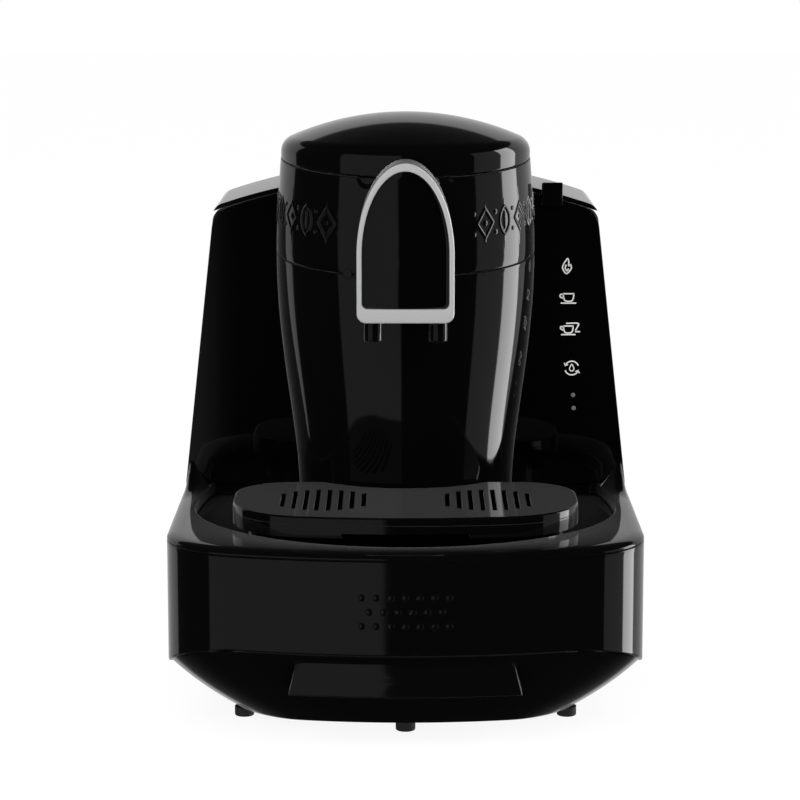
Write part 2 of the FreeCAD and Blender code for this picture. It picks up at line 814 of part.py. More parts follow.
# Turned dome of the lid: skirt, shoulder arc and a shallow crown
def dome_body(inset):
    skirt = tower_lid_radius - inset
    crown = lid_dome_radius - inset
    bend = max(lid_shoulder - inset, 2.0)
    low_z = lid_seam_z - lid_shoulder - spigot_reach
    ball_z = body_height - lid_dome_radius
    bend_x = skirt - bend
    bend_z = ball_z + math.sqrt((crown - bend) ** 2 - bend_x ** 2)
    touch = V(bend_x * crown / (crown - bend), tower_y, ball_z + (bend_z - ball_z) * crown / (crown - bend))
    aim = math.atan2(touch.z - bend_z, touch.x - bend_x) / 2
    mid = V(bend_x + bend * math.cos(aim), tower_y, bend_z + bend * math.sin(aim))
    half = math.atan2(touch.x, touch.z - ball_z) / 2
    crown_mid = V(crown * math.sin(half), tower_y, ball_z + crown * math.cos(half))
    corner = V(skirt, tower_y, bend_z)
    peak = V(0, tower_y, ball_z + crown)
    low = V(skirt, tower_y, low_z)
    axis_low = V(0, tower_y, low_z)
    edges = [
        Part.LineSegment(axis_low, low).toShape(),
        Part.LineSegment(low, corner).toShape(),
        Part.Arc(corner, mid, touch).toShape(),
        Part.Arc(touch, crown_mid, peak).toShape(),
        Part.LineSegment(peak, axis_low).toShape(),
    ]
    return Part.Face(Part.Wire(edges)).revolve(V(0, tower_y, 0), V(0, 0, 1), 360)


def build_brew_lid():
    outer = flat_backed(dome_body(0), 0)
    inner = flat_backed(dome_body(lid_wall), lid_wall)
    lid = outer.cut(inner).common(above_seam(lid_seam_z + seam_gap))
    half = ear_x - ear_length / 2 - slide_gap
    lid = fuse_all([lid, knuckle(-half, 2 * half, lid_knuckle_reach)])
    return lid.cut(hinge_bore())


def build_lid_liner():
    low = lid_seam_z + liner_low
    plate = flat_backed(dome_body(lid_wall), 2 * lid_wall + seam_gap).common(above_seam(low))
    return plate.common(below_seam(low + liner_thickness))


def build_lid_gasket():
    top = lid_seam_z + liner_low
    ring = tube(pot_radius + 2, pot_radius - 4, gasket_stock, V(0, pot_y, lid_seam_z - gasket_stock))
    return ring.common(below_seam(top)).common(above_seam(top - gasket_height))


def build_lid_pin():
    half = ear_x + ear_length / 2
    return cyl(pin_radius, 2 * half, V(-half, lid_axis_y, lid_axis_z), V(1, 0, 0))


# Brewing chamber
def build_chamber_rim():
    plate = flat_backed(tower_body(wall), wall)
    plate = plate.common(box(-beyond, beyond, -beyond, beyond, pot_rim_z - rim_thickness, pot_rim_z))
    return plate.cut(cyl(pot_radius + fit_gap, 3 * rim_thickness, V(0, pot_y, pot_rim_z - 2 * rim_thickness)))


def build_brew_pot():
    wall_tube = tube(pot_radius, pot_radius - pot_wall, pot_rim_z - pot_floor_z, V(0, pot_y, pot_floor_z))
    floor = cyl(pot_radius, pot_wall, V(0, pot_y, pot_floor_z))
    flange = tube(pot_radius + pot_flange, pot_radius - pot_wall, pot_wall, V(0, pot_y, pot_rim_z))
    pot = fuse_all([wall_tube, floor, flange])
    reach = math.sqrt(pot_radius ** 2 - inlet_x ** 2)
    entry = V(inlet_x, pot_y + reach - pot_radius / 6, inlet_z)
    pot = pot.cut(cyl(tube_hole, pot_radius / 3, entry, V(0, 1, 0)))
    return pot.cut(cyl(outlet_radius, 3 * pot_wall, V(0, outlet_valve_y, pot_floor_z - pot_wall)))


def build_heater():
    low = pot_floor_z - heater_height - 1
    plate = cyl(heater_radius, heater_height, V(0, pot_y, pot_floor_z - heater_height))
    plate = plate.cut(cyl(outlet_valve_radius + 1, beyond, V(0, outlet_valve_y, low)))
    slot_half = outlet_radius + 1
    plate = plate.cut(box(-slot_half, slot_half, pot_y - heater_radius - 1, outlet_valve_y,
                          low, pot_floor_z + 1))
    return plate.cut(cyl(sensor_hole, beyond, V(sensor_x, pot_y, low)))


def build_heater_bracket():
    z = pot_floor_z - heater_height
    slab = box(-beyond, beyond, pot_y + bracket_front, pot_y + bracket_back, z - bracket_thickness, z)
    bar = flat_backed(tower_body(wall), wall).common(slab)
    hole_y = pot_y + (bracket_front + bracket_back) / 2
    return bar.cut(cyl(sensor_hole, 3 * bracket_thickness, V(sensor_x, hole_y, z - 2 * bracket_thickness)))


def build_boil_sensor():
    return cyl(sensor_radius, sensor_length, V(sensor_x, pot_y, pot_floor_z - sensor_length))


def build_outlet_valve():
    low = pot_floor_z - outlet_valve_height
    body = cyl(outlet_valve_radius, outlet_valve_height, V(0, outlet_valve_y, low))
    return body.cut(cyl(outlet_valve_bore, outlet_valve_height, V(0, outlet_valve_y, low + outlet_radius)))


def build_outlet_pipe():
    y0 = nozzle_y + nozzle_radius + panel_gap + 0.05
    length = outlet_valve_y - outlet_valve_radius - y0
    pipe = cyl(outlet_pipe_radius, length, V(0, y0, outlet_z), V(0, 1, 0))
    return pipe.cut(cyl(outlet_pipe_bore, length, V(0, y0, outlet_z), V(0, 1, 0)))


# Manifold behind the nose: a block with a cross channel and a bore to each nozzle
def build_manifold():
    front = nose_y + frame_depth + nose_wall
    back = nozzle_y + nozzle_radius + panel_gap + 0.05
    half = nose_half - nose_wall - nose_corner / 2
    block = box(-half, half, front, back, nose_bottom_z + nose_wall, outlet_z + outlet_radius + 1)
    for side in (-1, 1):
        low = V(side * nozzle_x, nozzle_y, nose_bottom_z - nose_wall)
        block = block.cut(cyl(nozzle_bore, nose_half, low))
    channel = outlet_radius / 2
    return block.cut(box(-nozzle_x, nozzle_x, nozzle_y - channel, back + 1,
                         outlet_z - channel, outlet_z + channel))


def build_nozzles():
    nozzles = []
    for side in (-1, 1):
        base = V(side * nozzle_x, nozzle_y, nozzle_bottom_z)
        stem = cyl(nozzle_radius, nose_bottom_z - nozzle_bottom_z, base)
        rim = [e for e in stem.Edges if e.BoundBox.ZMax < nozzle_bottom_z + 0.1
               and e.Length > 3 * nozzle_radius]
        stem = stem.makeFillet(nozzle_edge, rim)
        neck = cyl(nozzle_neck, nose_wall, V(base.x, base.y, nose_bottom_z))
        nozzles.append(stem.fuse(neck).cut(cyl(nozzle_bore, nose_half, base)))
    return Part.makeCompound(nozzles)


# Spout nose
def build_spout_housing():
    front = nose_y + frame_depth
    body = arch_prism(0, front, tower_y - nose_root)
    hollow = arch_prism(nose_wall, front + nose_wall, tower_y - nose_root + 1)
    body = body.cut(hollow)
    body = body.cut(tower_body(0))
    clear = tower_body(-nose_lid_gap, lid_shoulder / 2).common(above_seam(lid_seam_z - nose_lid_gap))
    body = body.cut(clear)
    for side in (-1, 1):
        neck_low = V(side * nozzle_x, nozzle_y, nose_bottom_z - nose_wall)
        body = body.cut(cyl(nozzle_neck, 3 * nose_wall, neck_low))
    solids = sorted(body.Solids, key=lambda s: s.Volume)
    return solids[-1]


def build_arch_frame():
    outer = arch_prism(0, nose_y, nose_y + frame_depth)
    face = arch_face(nose_half - frame_side, nose_bottom_z + frame_bottom, nose_top_z - frame_top,
                     frame_corner, nose_y - 1)
    opening = face.extrude(V(0, frame_depth + 2, 0))
    return outer.cut(opening)


def build_arch_panel():
    face = arch_face(nose_half - frame_side - panel_gap, nose_bottom_z + frame_bottom + panel_gap,
                     nose_top_z - frame_top - panel_gap, frame_corner - panel_gap, nose_y + panel_recess)
    return face.extrude(V(0, frame_depth - panel_recess, 0))


# Shield, housing and tank
def build_front_shield():
    plate = wing_prism(0, cover_drop, deck_z, shield_y, housing_front_y, wing_corner_radius)
    plate = plate.cut(tower_body(-fit_gap))
    return [s for s in plate.Solids if s.CenterOfMass.x > 0][0]


def build_back_housing():
    outer = wing_prism(0, cover_drop, deck_z, housing_front_y, housing_back_y, wing_corner_radius)
    inner = wing_prism(wall, cover_drop + wall, deck_z + wall, housing_front_y - 1, housing_back_y - wall,
                       wing_corner_radius - wall)
    shell = outer.cut(inner)
    shell = shell.cut(flat_backed(tower_body(-fit_gap), -fit_gap))
    shell = shell.cut(cyl(tube_hole, 4 * wall, V(pump_x, pump_y, deck_z - wall)))
    for x, y in screw_places:
        shell = shell.cut(cyl(screw_radius, 4 * wall, V(x, y, deck_z - wall)))
    return shell


def build_water_tank():
    outer = wing_prism(tank_inset, cover_drop + fit_gap, tank_bottom_z, tank_front_y, tank_rear_y,
                       wing_corner_radius - tank_inset)
    inner = wing_prism(tank_inset + tank_wall, -tank_mouth_rise, tank_bottom_z + tank_wall,
                       tank_front_y + tank_wall, tank_rear_y - tank_wall, 0)
    tank = outer.cut(inner)
    valve_low_z = deck_z - valve_length
    spout = cyl(valve_radius, tank_bottom_z - valve_low_z, V(valve_x, dock_y, valve_low_z))
    bore = cyl(valve_bore, 3 * valve_length, V(valve_x, dock_y, valve_low_z - 1))
    tank = tank.fuse(spout).cut(bore)
    for side in (-1, 1):
        x = side * cover_knuckle_x
        for end in (-1, 1):
            start = x + end * (cover_knuckle_length / 2 + fit_gap) + (0 if end > 0 else -cover_ear_length)
            barrel = cyl(knuckle_radius, cover_ear_length, V(start, cover_axis_y, cover_axis_z), V(1, 0, 0))
            web = box(start, start + cover_ear_length, tank_rear_y - 1, cover_axis_y,
                      cover_axis_z - knuckle_radius, cover_axis_z)
            tank = tank.fuse(barrel.fuse(web))
    return tank.cut(cover_bore()).removeSplitter()


def cover_bore():
    return cyl(pin_radius + pin_clearance, 2 * beyond, V(-beyond, cover_axis_y, cover_axis_z), V(1, 0, 0))


def cover_channel():
    reach = tower_radius(wing_corner_z)
    half = math.sqrt(reach ** 2 - (shield_y - tower_y) ** 2) + channel_gap
    return box(-half, half, -beyond, tank_front_y - slide_gap, lower_seam_z, beyond)


# Thin cover over housing and tank, open in front for the tower, with a finger tab
def build_tank_lid():
    tab_back = shield_y - part_line
    arm_y = tank_rear_y + part_line
    end_y = cover_axis_y - part_line
    outer = wing_prism(0, 0, wing_foot_z, shield_y, end_y, wing_corner_radius)
    under = wing_prism(-wall, cover_thickness, wing_foot_z - 1, nose_y, cover_axis_y + 1, 0)
    cover = outer.cut(under).cut(cover_channel())
    tab = box(tab_left, tab_right, tab_back - tab_thickness, tab_back, tab_bottom_z, tab_top_z)
    tab = tab.makeFillet(tab_edge, [e for e in tab.Edges if e.BoundBox.XLength < 0.01])
    bridge = box(tab_left, tab_right, tab_back - tab_thickness / 2, shield_y + wall,
                 crown_z(tab_right, cover_drop), crown_z(tab_left, 0))
    cover = fuse_all([cover, tab, bridge.cut(under)])
    half = cover_knuckle_length / 2
    for side in (-1, 1):
        x = side * cover_knuckle_x
        arm = box(x - half, x + half, arm_y, end_y, cover_axis_z, crown_z(x + side * half, 1.0))
        barrel = cyl(knuckle_radius, 2 * half, V(x - half, cover_axis_y, cover_axis_z), V(1, 0, 0))
        barrel = barrel.cut(box(x - half - 1, x + half + 1, 0, arm_y, 0, beyond))
        cover = cover.fuse(arm.fuse(barrel))
    return cover.cut(cover_bore()).removeSplitter()


def build_cover_pins():
    length = cover_knuckle_length + 2 * (fit_gap + cover_ear_length) - 1
    pins = []
    for side in (-1, 1):
        start = V(side * cover_knuckle_x - length / 2, cover_axis_y, cover_axis_z)
        pins.append(cyl(pin_radius, length, start, V(1, 0, 0)))
    return Part.makeCompound(pins)


# Plug under the dock socket, with the seat of the suction tube
def build_dock_pin():
    base = V(valve_x, dock_y, deck_z - wall - dock_depth - dock_floor)
    disc = cyl(valve_radius + wall + 1, dock_floor, base)
    return disc.cut(cyl(dock_hole, 2 * dock_floor, base + V(dock_hole_offset, 0, -1)))


# Electrics and water path inside the wings and the base
def build_control_board():
    y = housing_front_y + board_gap
    board = box(board_left_x, board_right_x, y, y + board_thickness, board_low_z, board_high_z)
    for drop in icon_drops:
        place = V(icon_x(drop), y, icon_top_z - drop)
        board = board.fuse(cyl(icon_pad_radius, board_gap, place, V(0, -1, 0)))
    return board.removeSplitter()


# The column of pictograms leans out a little towards its foot
def icon_x(drop):
    return icon_top_x + drop * icon_lean


def build_status_lights():
    lights = []
    for drop in lamp_drops:
        place = V(icon_x(drop), housing_front_y, icon_top_z - drop)
        lights.append(cyl(lamp_radius, lamp_depth, place, V(0, 1, 0)))
    return Part.makeCompound(lights)


def build_power_board():
    top = power_z + board_thickness
    board = box(power_x[0], power_x[1], power_y[0], power_y[1], power_z, top)
    relay_x = power_x[0] + relay_offset[0]
    relay_y = power_y[0] + relay_offset[1]
    relay = box(relay_x, relay_x + relay_size[0], relay_y, relay_y + relay_size[1], top, top + relay_size[2])
    capacitor = cyl(capacitor_radius, capacitor_height,
                    V(power_x[0] + capacitor_offset[0], power_y[0] + capacitor_offset[1], top))
    return fuse_all([board, relay, capacitor])


def build_board_posts():
    posts = []
    foot_z = foot_height + 2 * wall
    for x in (power_x[0] + post_inset, power_x[1] - post_inset):
        for y in (power_y[0] + post_inset, power_y[1] - post_inset):
            posts.append(cyl(post_radius, power_z - foot_z, V(x, y, foot_z)))
    return Part.makeCompound(posts)


def build_pump():
    body = cyl(pump_radius, pump_length, V(pump_x, pump_y, pump_low_z))
    neck = cyl(pump_neck_radius, pump_neck, V(pump_x, pump_y, pump_low_z + pump_length))
    inlet = cyl(pump_neck_radius, pump_inlet, V(pump_x, pump_y, pump_low_z - pump_inlet))
    coil = box(pump_x - coil_half_x, pump_x + coil_half_x, pump_y - coil_half_y, pump_y + coil_half_y,
               pump_low_z + coil_low, pump_low_z + coil_high)
    return fuse_all([body, neck, inlet, coil])


def build_pump_mounts():
    rings = []
    y0 = pump_y + pump_radius + 1
    y1 = housing_back_y - wall
    for lift in mount_lifts:
        z = pump_low_z + lift
        ring = tube(pump_radius + mount_wall, pump_radius, mount_height, V(pump_x, pump_y, z))
        arm = box(pump_x - mount_half, pump_x + mount_half, y0, y1, z, z + mount_height)
        rings.append(ring.fuse(arm))
    return Part.makeCompound(rings)


# Tube along straight runs joined by tangent arcs; every turn is a right angle
def bent_pipe(points, radius, bend):
    edges = []
    last = points[0]
    for i in range(1, len(points) - 1):
        before = (points[i - 1] - points[i]).normalize()
        after = (points[i + 1] - points[i]).normalize()
        start = points[i] + before * bend
        end = points[i] + after * bend
        centre = points[i] + (before + after) * bend
        mid = centre - ((before + after).normalize() * bend)
        edges.append(Part.LineSegment(last, start).toShape())
        edges.append(Part.Arc(start, mid, end).toShape())
        last = end
    edges.append(Part.LineSegment(last, points[-1]).toShape())
    path = Part.Wire(edges)
    direction = (points[1] - points[0]).normalize()
    ring = Part.Wire(Part.makeCircle(radius, points[0], direction))
    return path.makePipeShell([ring], True, False)


def build_suction_tube():
    x = valve_x + dock_hole_offset
    start = V(x, dock_y, deck_z - wall - dock_depth - dock_floor)
    return bent_pipe([start, V(x, dock_y, suction_z), V(pump_x, dock_y, suction_z),
                      V(pump_x, pump_y, suction_z), V(pump_x, pump_y, pump_low_z - pump_inlet)],
                     tube_radius, suction_bend)


def build_delivery_tube():
    top = pump_low_z + pump_length + pump_neck
    back = tower_back_y + delivery_back
    pot_back = pot_y + math.sqrt(pot_radius ** 2 - inlet_x ** 2) + fit_gap
    return bent_pipe([V(pump_x, pump_y, top), V(pump_x, pump_y, inlet_z), V(pump_x, back, inlet_z),
                      V(inlet_x, back, inlet_z), V(inlet_x, pot_back, inlet_z)],
                     tube_radius, delivery_bend)


def build_cord_gland():
    y0 = rear_y - wall
    flange = cyl(gland_radius + gland_flange, wall, V(gland_x, y0, gland_z), V(0, -1, 0))
    barrel = cyl(gland_radius, wall, V(gland_x, y0, gland_z), V(0, 1, 0))
    return flange.fuse(barrel).cut(cyl(gland_bore, 4 * wall, V(gland_x, y0 - 2 * wall, gland_z), V(0, 1, 0)))


def build_housing_screws():
    screws = []
    for x, y in screw_places:
        shank = cyl(screw_radius, 2 * wall, V(x, y, deck_z - wall))
        head = cyl(2 * screw_radius, screw_head_height, V(x, y, deck_z - wall - screw_head_height))
        screws.append(shank.fuse(head))
    return Part.makeCompound(screws)


parts = {
    "base_shell": build_base_shell,
    "base_plate": build_base_plate,
    "rubber_feet": build_feet,
    "foot_screws": build_foot_screws,
    "base_housing": build_base_housing,
    "deck_flare_right": build_shoulders,
    "deck_flare_left": lambda: mirrored(build_shoulders()),
    "drawer_front": build_drawer_front,
    "waste_reservoir": build_reservoir,
    "drawer_rails": build_rails,
    "tray_base": build_tray_base,
    "cup_tray": build_cup_tray,
    "tower_shell": build_tower_shell,
    "tower_collar": build_collar,
    "brew_lid": build_brew_lid,
    "lid_liner": build_lid_liner,
    "lid_gasket": build_lid_gasket,
    "lid_hinge_pin": build_lid_pin,
    "chamber_rim": build_chamber_rim,
    "brew_pot": build_brew_pot,
    "heater_plate": build_heater,
    "heater_bracket": build_heater_bracket,
    "boil_sensor": build_boil_sensor,
    "outlet_valve": build_outlet_valve,
    "outlet_pipe": build_outlet_pipe,
    "spout_manifold": build_manifold,
    "spout_nozzles": build_nozzles,
    "spout_housing": build_spout_housing,
    "arch_frame": build_arch_frame,
    "arch_panel": build_arch_panel,
    "shield_right": build_front_shield,
    "shield_left": lambda: mirrored(build_front_shield()),
    "back_housing": build_back_housing,
    "water_tank": build_water_tank,
    "tank_lid": build_tank_lid,
    "tank_lid_pins": build_cover_pins,
    "tank_dock": build_dock_pin,
    "control_board": build_control_board,
    "status_lights": build_status_lights,
    "power_board": build_power_board,
    "board_posts": build_board_posts,
    "water_pump": build_pump,
    "pump_mounts": build_pump_mounts,
    "suction_tube": build_suction_tube,
    "delivery_tube": build_delivery_tube,
    "cord_gland": build_cord_gland,
    "housing_screws": build_housing_screws,
}

for part_name, build in parts.items():
    save(part_name, build())
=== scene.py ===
import bmesh
import bpy
import json
import math
import numpy as np
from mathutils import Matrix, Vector


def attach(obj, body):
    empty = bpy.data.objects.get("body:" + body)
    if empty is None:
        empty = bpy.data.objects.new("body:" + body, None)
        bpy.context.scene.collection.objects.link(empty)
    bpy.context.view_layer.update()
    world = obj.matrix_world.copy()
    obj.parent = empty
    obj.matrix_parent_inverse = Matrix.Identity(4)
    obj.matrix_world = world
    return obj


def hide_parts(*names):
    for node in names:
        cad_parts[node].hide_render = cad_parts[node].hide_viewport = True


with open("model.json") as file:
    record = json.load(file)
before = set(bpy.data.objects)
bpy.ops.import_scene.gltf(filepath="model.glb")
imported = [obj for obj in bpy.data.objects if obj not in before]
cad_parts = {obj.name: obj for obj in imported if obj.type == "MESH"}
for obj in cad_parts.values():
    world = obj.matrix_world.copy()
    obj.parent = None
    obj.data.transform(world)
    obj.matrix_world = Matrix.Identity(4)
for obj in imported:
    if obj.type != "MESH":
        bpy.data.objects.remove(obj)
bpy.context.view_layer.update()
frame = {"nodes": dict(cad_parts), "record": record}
nodes = frame["nodes"]
scene = bpy.context.scene
mm = 0.001
print("frame loaded,", len(nodes), "nodes")


# shader maths: a wrapped socket that adds Math nodes when values are combined
class Wire:
    def __init__(self, graph, socket):
        self.graph = graph
        self.socket = socket

    def combine(self, operation, *others):
        return self.graph.maths(operation, self, *others)

    def __add__(self, other):
        return self.combine("ADD", other)

    def __sub__(self, other):
        return self.combine("SUBTRACT", other)

    def __mul__(self, other):
        return self.combine("MULTIPLY", other)

    def __radd__(self, other):
        return self.graph.maths("ADD", other, self)

    def __rsub__(self, other):
        return self.graph.maths("SUBTRACT", other, self)

    def __rmul__(self, other):
        return self.graph.maths("MULTIPLY", other, self)


# a node tree: adds nodes, links wires to sockets, sets plain values
class Graph:
    def __init__(self, tree):
        self.tree = tree

    # any node: its type, its settings and the values or links of its sockets
    def node(self, kind, settings=None, sockets=None, out=0):
        made = self.tree.nodes.new(kind)
        for name, value in (settings or {}).items():
            setattr(made, name, value)
        for name, value in (sockets or {}).items():
            self.put(made.inputs[name], value)
        return Wire(self, made.outputs[out])

    def put(self, socket, value):
        if isinstance(value, Wire):
            self.tree.links.new(value.socket, socket)
        else:
            socket.default_value = value

    def maths(self, operation, *values):
        return self.node("ShaderNodeMath", {"operation": operation}, dict(enumerate(values)))

    # smooth step from 0 to 1 between two values
    def step(self, value, low, high):
        return self.node("ShaderNodeMapRange", {"interpolation_type": "SMOOTHSTEP"},
                         {"Value": value, "From Min": low, "From Max": high})


# empty material with its graph and its main shader
def newMaterial(name):
    mat = bpy.data.materials.new(name)
    mat.use_nodes = True
    shader = mat.node_tree.nodes["Principled BSDF"]
    return mat, Graph(mat.node_tree), shader


# object coordinates, in metres from the object's own origin
def objectPlace(graph):
    return graph.node("ShaderNodeTexCoord", out=3)


# colour that wanders between two colours with a noise
def blendColour(graph, shader, factor, first, second):
    tint = graph.node("ShaderNodeMix", {"data_type": "RGBA"},
                      {"Factor": factor, "A": (*first, 1.0), "B": (*second, 1.0)}, out=2)
    graph.put(shader.inputs["Base Color"], tint)


# fractal noise at a place, 0 to 1
def noise(graph, place, scale, detail=2.0, rough=0.5):
    return graph.node("ShaderNodeTexNoise", None,
                      {"Vector": place, "Scale": scale, "Detail": detail, "Roughness": rough})


# bump of a height, with a strength and a distance in metres
def addBump(graph, shader, height, strength, distance):
    bump = graph.node("ShaderNodeBump", None, {"Height": height, "Strength": strength, "Distance": distance})
    graph.put(shader.inputs["Normal"], bump)


# polished plastic: base colour with faint flow marks, dust haze and a soft moulded ripple
def glossPlastic(name, look):
    mat, graph, shader = newMaterial(name)
    place = objectPlace(graph)
    haze = noise(graph, place, look["hazeScale"], 3.0)
    fine = noise(graph, place, look["speckScale"], 4.0, 0.65)
    ripple = noise(graph, place, look["rippleScale"], 1.0)
    pale = [c * look["hazeGain"] for c in look["colour"]]
    blendColour(graph, shader, haze, look["colour"], pale)
    rough = look["rough"] + (haze * look["hazeRough"]) + (graph.step(fine, 0.62, 0.8) * look["speckRough"])
    graph.put(shader.inputs["Roughness"], rough)
    shader.inputs["IOR"].default_value = 1.5
    shader.inputs["Sheen Weight"].default_value = look["sheen"]
    shader.inputs["Sheen Roughness"].default_value = look["sheenRough"]
    addBump(graph, shader, ripple, look["rippleStrength"], 0.0004)
    return mat


# brushed or satin metal: fine streaks across one axis
def satinMetal(name, look):
    mat, graph, shader = newMaterial(name)
    place = objectPlace(graph)
    stretched = graph.node("ShaderNodeMapping", None, {"Vector": place, "Scale": look["grain"]})
    streaks = noise(graph, stretched, look["scale"], 3.0, 0.6)
    worn = [c * 0.86 for c in look["colour"]]
    blendColour(graph, shader, streaks, look["colour"], worn)
    shader.inputs["Metallic"].default_value = look.get("metal", 1.0)
    graph.put(shader.inputs["Roughness"], look["rough"] + streaks * look["roughSpread"])
    addBump(graph, shader, streaks, look["bump"], 0.0002)
    return mat


# grained plastic or rubber
def grainedPlastic(name, look):
    mat, graph, shader = newMaterial(name)
    place = objectPlace(graph)
    grain = noise(graph, place, look["scale"], 4.0, 0.7)
    cloud = noise(graph, place, 40.0, 2.0)
    pale = [min(1.0, c * 1.5 + 0.004) for c in look["colour"]]
    blendColour(graph, shader, cloud, look["colour"], pale)
    graph.put(shader.inputs["Roughness"], look["rough"] + grain * 0.12)
    addBump(graph, shader, grain, look["bump"], 0.0003)
    return mat


# smoked clear plastic of the tank, with a faint scale film
def smokedPlastic(name, look):
    mat, graph, shader = newMaterial(name)
    place = objectPlace(graph)
    film = noise(graph, place, 60.0, 3.0)
    pale = [c * 1.6 for c in look["colour"]]
    blendColour(graph, shader, film, look["colour"], pale)
    graph.put(shader.inputs["Alpha"], look["alpha"] + film * 0.08)
    graph.put(shader.inputs["Roughness"], 0.06 + film * 0.06)
    return mat


# circuit board: solder mask with copper tracks
def boardMaterial(name):
    mat, graph, shader = newMaterial(name)
    place = objectPlace(graph)
    tracks = graph.node("ShaderNodeTexBrick", {"offset": 0.5},
                        {"Vector": place, "Scale": 180.0, "Mortar Size": 0.08, "Color1": (0.01, 0.1, 0.04, 1),
                         "Color2": (0.012, 0.13, 0.05, 1), "Mortar": (0.05, 0.28, 0.1, 1)})
    graph.put(shader.inputs["Base Color"], tracks)
    cloud = noise(graph, place, 90.0, 2.0)
    graph.put(shader.inputs["Roughness"], 0.32 + cloud * 0.15)
    return mat


bodyLook = {"colour": (0.0012, 0.0012, 0.0014), "hazeScale": 14.0, "hazeGain": 1.5, "speckScale": 900.0,
            "rippleScale": 55.0, "rippleStrength": 0.03, "rough": 0.045, "hazeRough": 0.03, "speckRough": 0.08,
            "sheen": 0.4, "sheenRough": 0.22}
panelLook = dict(bodyLook, colour=(0.0008, 0.0008, 0.001), rough=0.025, hazeRough=0.02, rippleStrength=0.012)
hullLook = dict(bodyLook, colour=(0.0014, 0.0014, 0.0016), rough=0.06)

finishes = {
    "body_black": glossPlastic("pianoBlack", bodyLook),
    "hull_black": glossPlastic("hullBlack", hullLook),
    "panel_black": glossPlastic("panelBlack", panelLook),
    "inner_black": grainedPlastic("innerBlack", {"colour": (0.018, 0.018, 0.019), "scale": 700.0,
                                                 "rough": 0.42, "bump": 0.25}),
    "satin_silver": satinMetal("satinSilver", {"colour": (0.72, 0.72, 0.73), "grain": (1.0, 1.0, 14.0),
                                               "scale": 260.0, "rough": 0.3, "roughSpread": 0.08, "bump": 0.04,
                                               "metal": 0.5}),
    "pot_steel": satinMetal("potSteel", {"colour": (0.58, 0.57, 0.56), "grain": (1.0, 1.0, 18.0),
                                         "scale": 150.0, "rough": 0.26, "roughSpread": 0.14, "bump": 0.1}),
    "rubber_black": grainedPlastic("rubberBlack", {"colour": (0.012, 0.012, 0.012), "scale": 500.0,
                                                   "rough": 0.68, "bump": 0.3}),
    "tank_smoke": smokedPlastic("tankSmoke", {"colour": (0.02, 0.02, 0.024), "alpha": 0.72}),
    "steel_small": satinMetal("platedSteel", {"colour": (0.62, 0.62, 0.6), "grain": (12.0, 1.0, 1.0),
                                              "scale": 200.0, "rough": 0.18, "roughSpread": 0.12, "bump": 0.08}),
    "board_green": boardMaterial("circuitBoard"),
    "pump_grey": grainedPlastic("pumpNylon", {"colour": (0.09, 0.09, 0.1), "scale": 600.0,
                                              "rough": 0.45, "bump": 0.2}),
    "silicone": grainedPlastic("siliconeTube", {"colour": (0.62, 0.62, 0.58), "scale": 300.0,
                                                "rough": 0.35, "bump": 0.08}),
    "heater_metal": satinMetal("castAluminium", {"colour": (0.5, 0.5, 0.5), "grain": (1.0, 1.0, 1.0),
                                                 "scale": 320.0, "rough": 0.42, "roughSpread": 0.2, "bump": 0.3}),
    "brass_small": satinMetal("turnedBrass", {"colour": (0.66, 0.46, 0.17), "grain": (1.0, 1.0, 16.0),
                                              "scale": 240.0, "rough": 0.22, "roughSpread": 0.12, "bump": 0.1}),
    "lamp_lens": grainedPlastic("lampLens", {"colour": (0.12, 0.12, 0.13), "scale": 400.0,
                                             "rough": 0.3, "bump": 0.05}),
}
# ink of the pictograms, and the finish of every node by its slot
printInk = grainedPlastic("printInk", {"colour": (0.62, 0.62, 0.6), "scale": 900.0, "rough": 0.5, "bump": 0.05})
nodeSlots = {entry["node"]: entry["material_slot"] for entry in frame["record"]["subparts"]}
for nodeName, piece in nodes.items():
    piece.data.materials.clear()
    piece.data.materials.append(finishes[nodeSlots[nodeName]])
    print(nodeName, "is", nodeSlots[nodeName])


# faces of a grid of rows and columns; rows and columns can each close on themselves
def gridFaces(rows, columns, closeRows, closeColumns):
    r = np.arange(rows if closeRows else rows - 1)
    c = np.arange(columns if closeColumns else columns - 1)
    rr, cc = np.meshgrid(r, c, indexing="ij")
    nextR = (rr + 1) % rows
    nextC = (cc + 1) % columns
    quads = np.stack([rr * columns + cc, rr * columns + nextC, nextR * columns + nextC, nextR * columns + cc], -1)
    return quads.reshape(-1, 4)


# closed mesh in metres, normals turned outwards, riding on a body with a finish
def addPiece(name, points, faces, body, slotName, bevel=0.0, angle=40.0):
    mesh = bpy.data.meshes.new(name)
    mesh.from_pydata(np.asarray(points).reshape(-1, 3).tolist(), [], [list(face) for face in faces])
    work = bmesh.new()
    work.from_mesh(mesh)
    bmesh.ops.remove_doubles(work, verts=work.verts, dist=1e-6)
    bmesh.ops.recalc_face_normals(work, faces=work.faces)
    work.to_mesh(mesh)
    work.free()
    mesh.shade_smooth()
    mesh.set_sharp_from_angle(angle=math.radians(angle))
    piece = bpy.data.objects.new(name, mesh)
    scene.collection.objects.link(piece)
    mesh.materials.append(finishes[slotName])
    if bevel > 0:
        rounding = piece.modifiers.new("edges", "BEVEL")
        rounding.width = bevel * mm
        rounding.segments = 3
        rounding.limit_method = "ANGLE"
        rounding.angle_limit = math.radians(38)
        rounding.harden_normals = True
    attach(piece, body)
    return piece


# rows of closed loops in mm as one closed skin: end loops capped, or joined to each other
def loftParts(loops, joinEnds=False):
    loops = np.asarray(loops, dtype=float)
    rows, columns = loops.shape[:2]
    faces = gridFaces(rows, columns, joinEnds, True).tolist()
    if not joinEnds:
        faces.append(list(range(columns)))
        faces.append([(rows - 1) * columns + i for i in range(columns)])
    return loops.reshape(-1, 3), faces


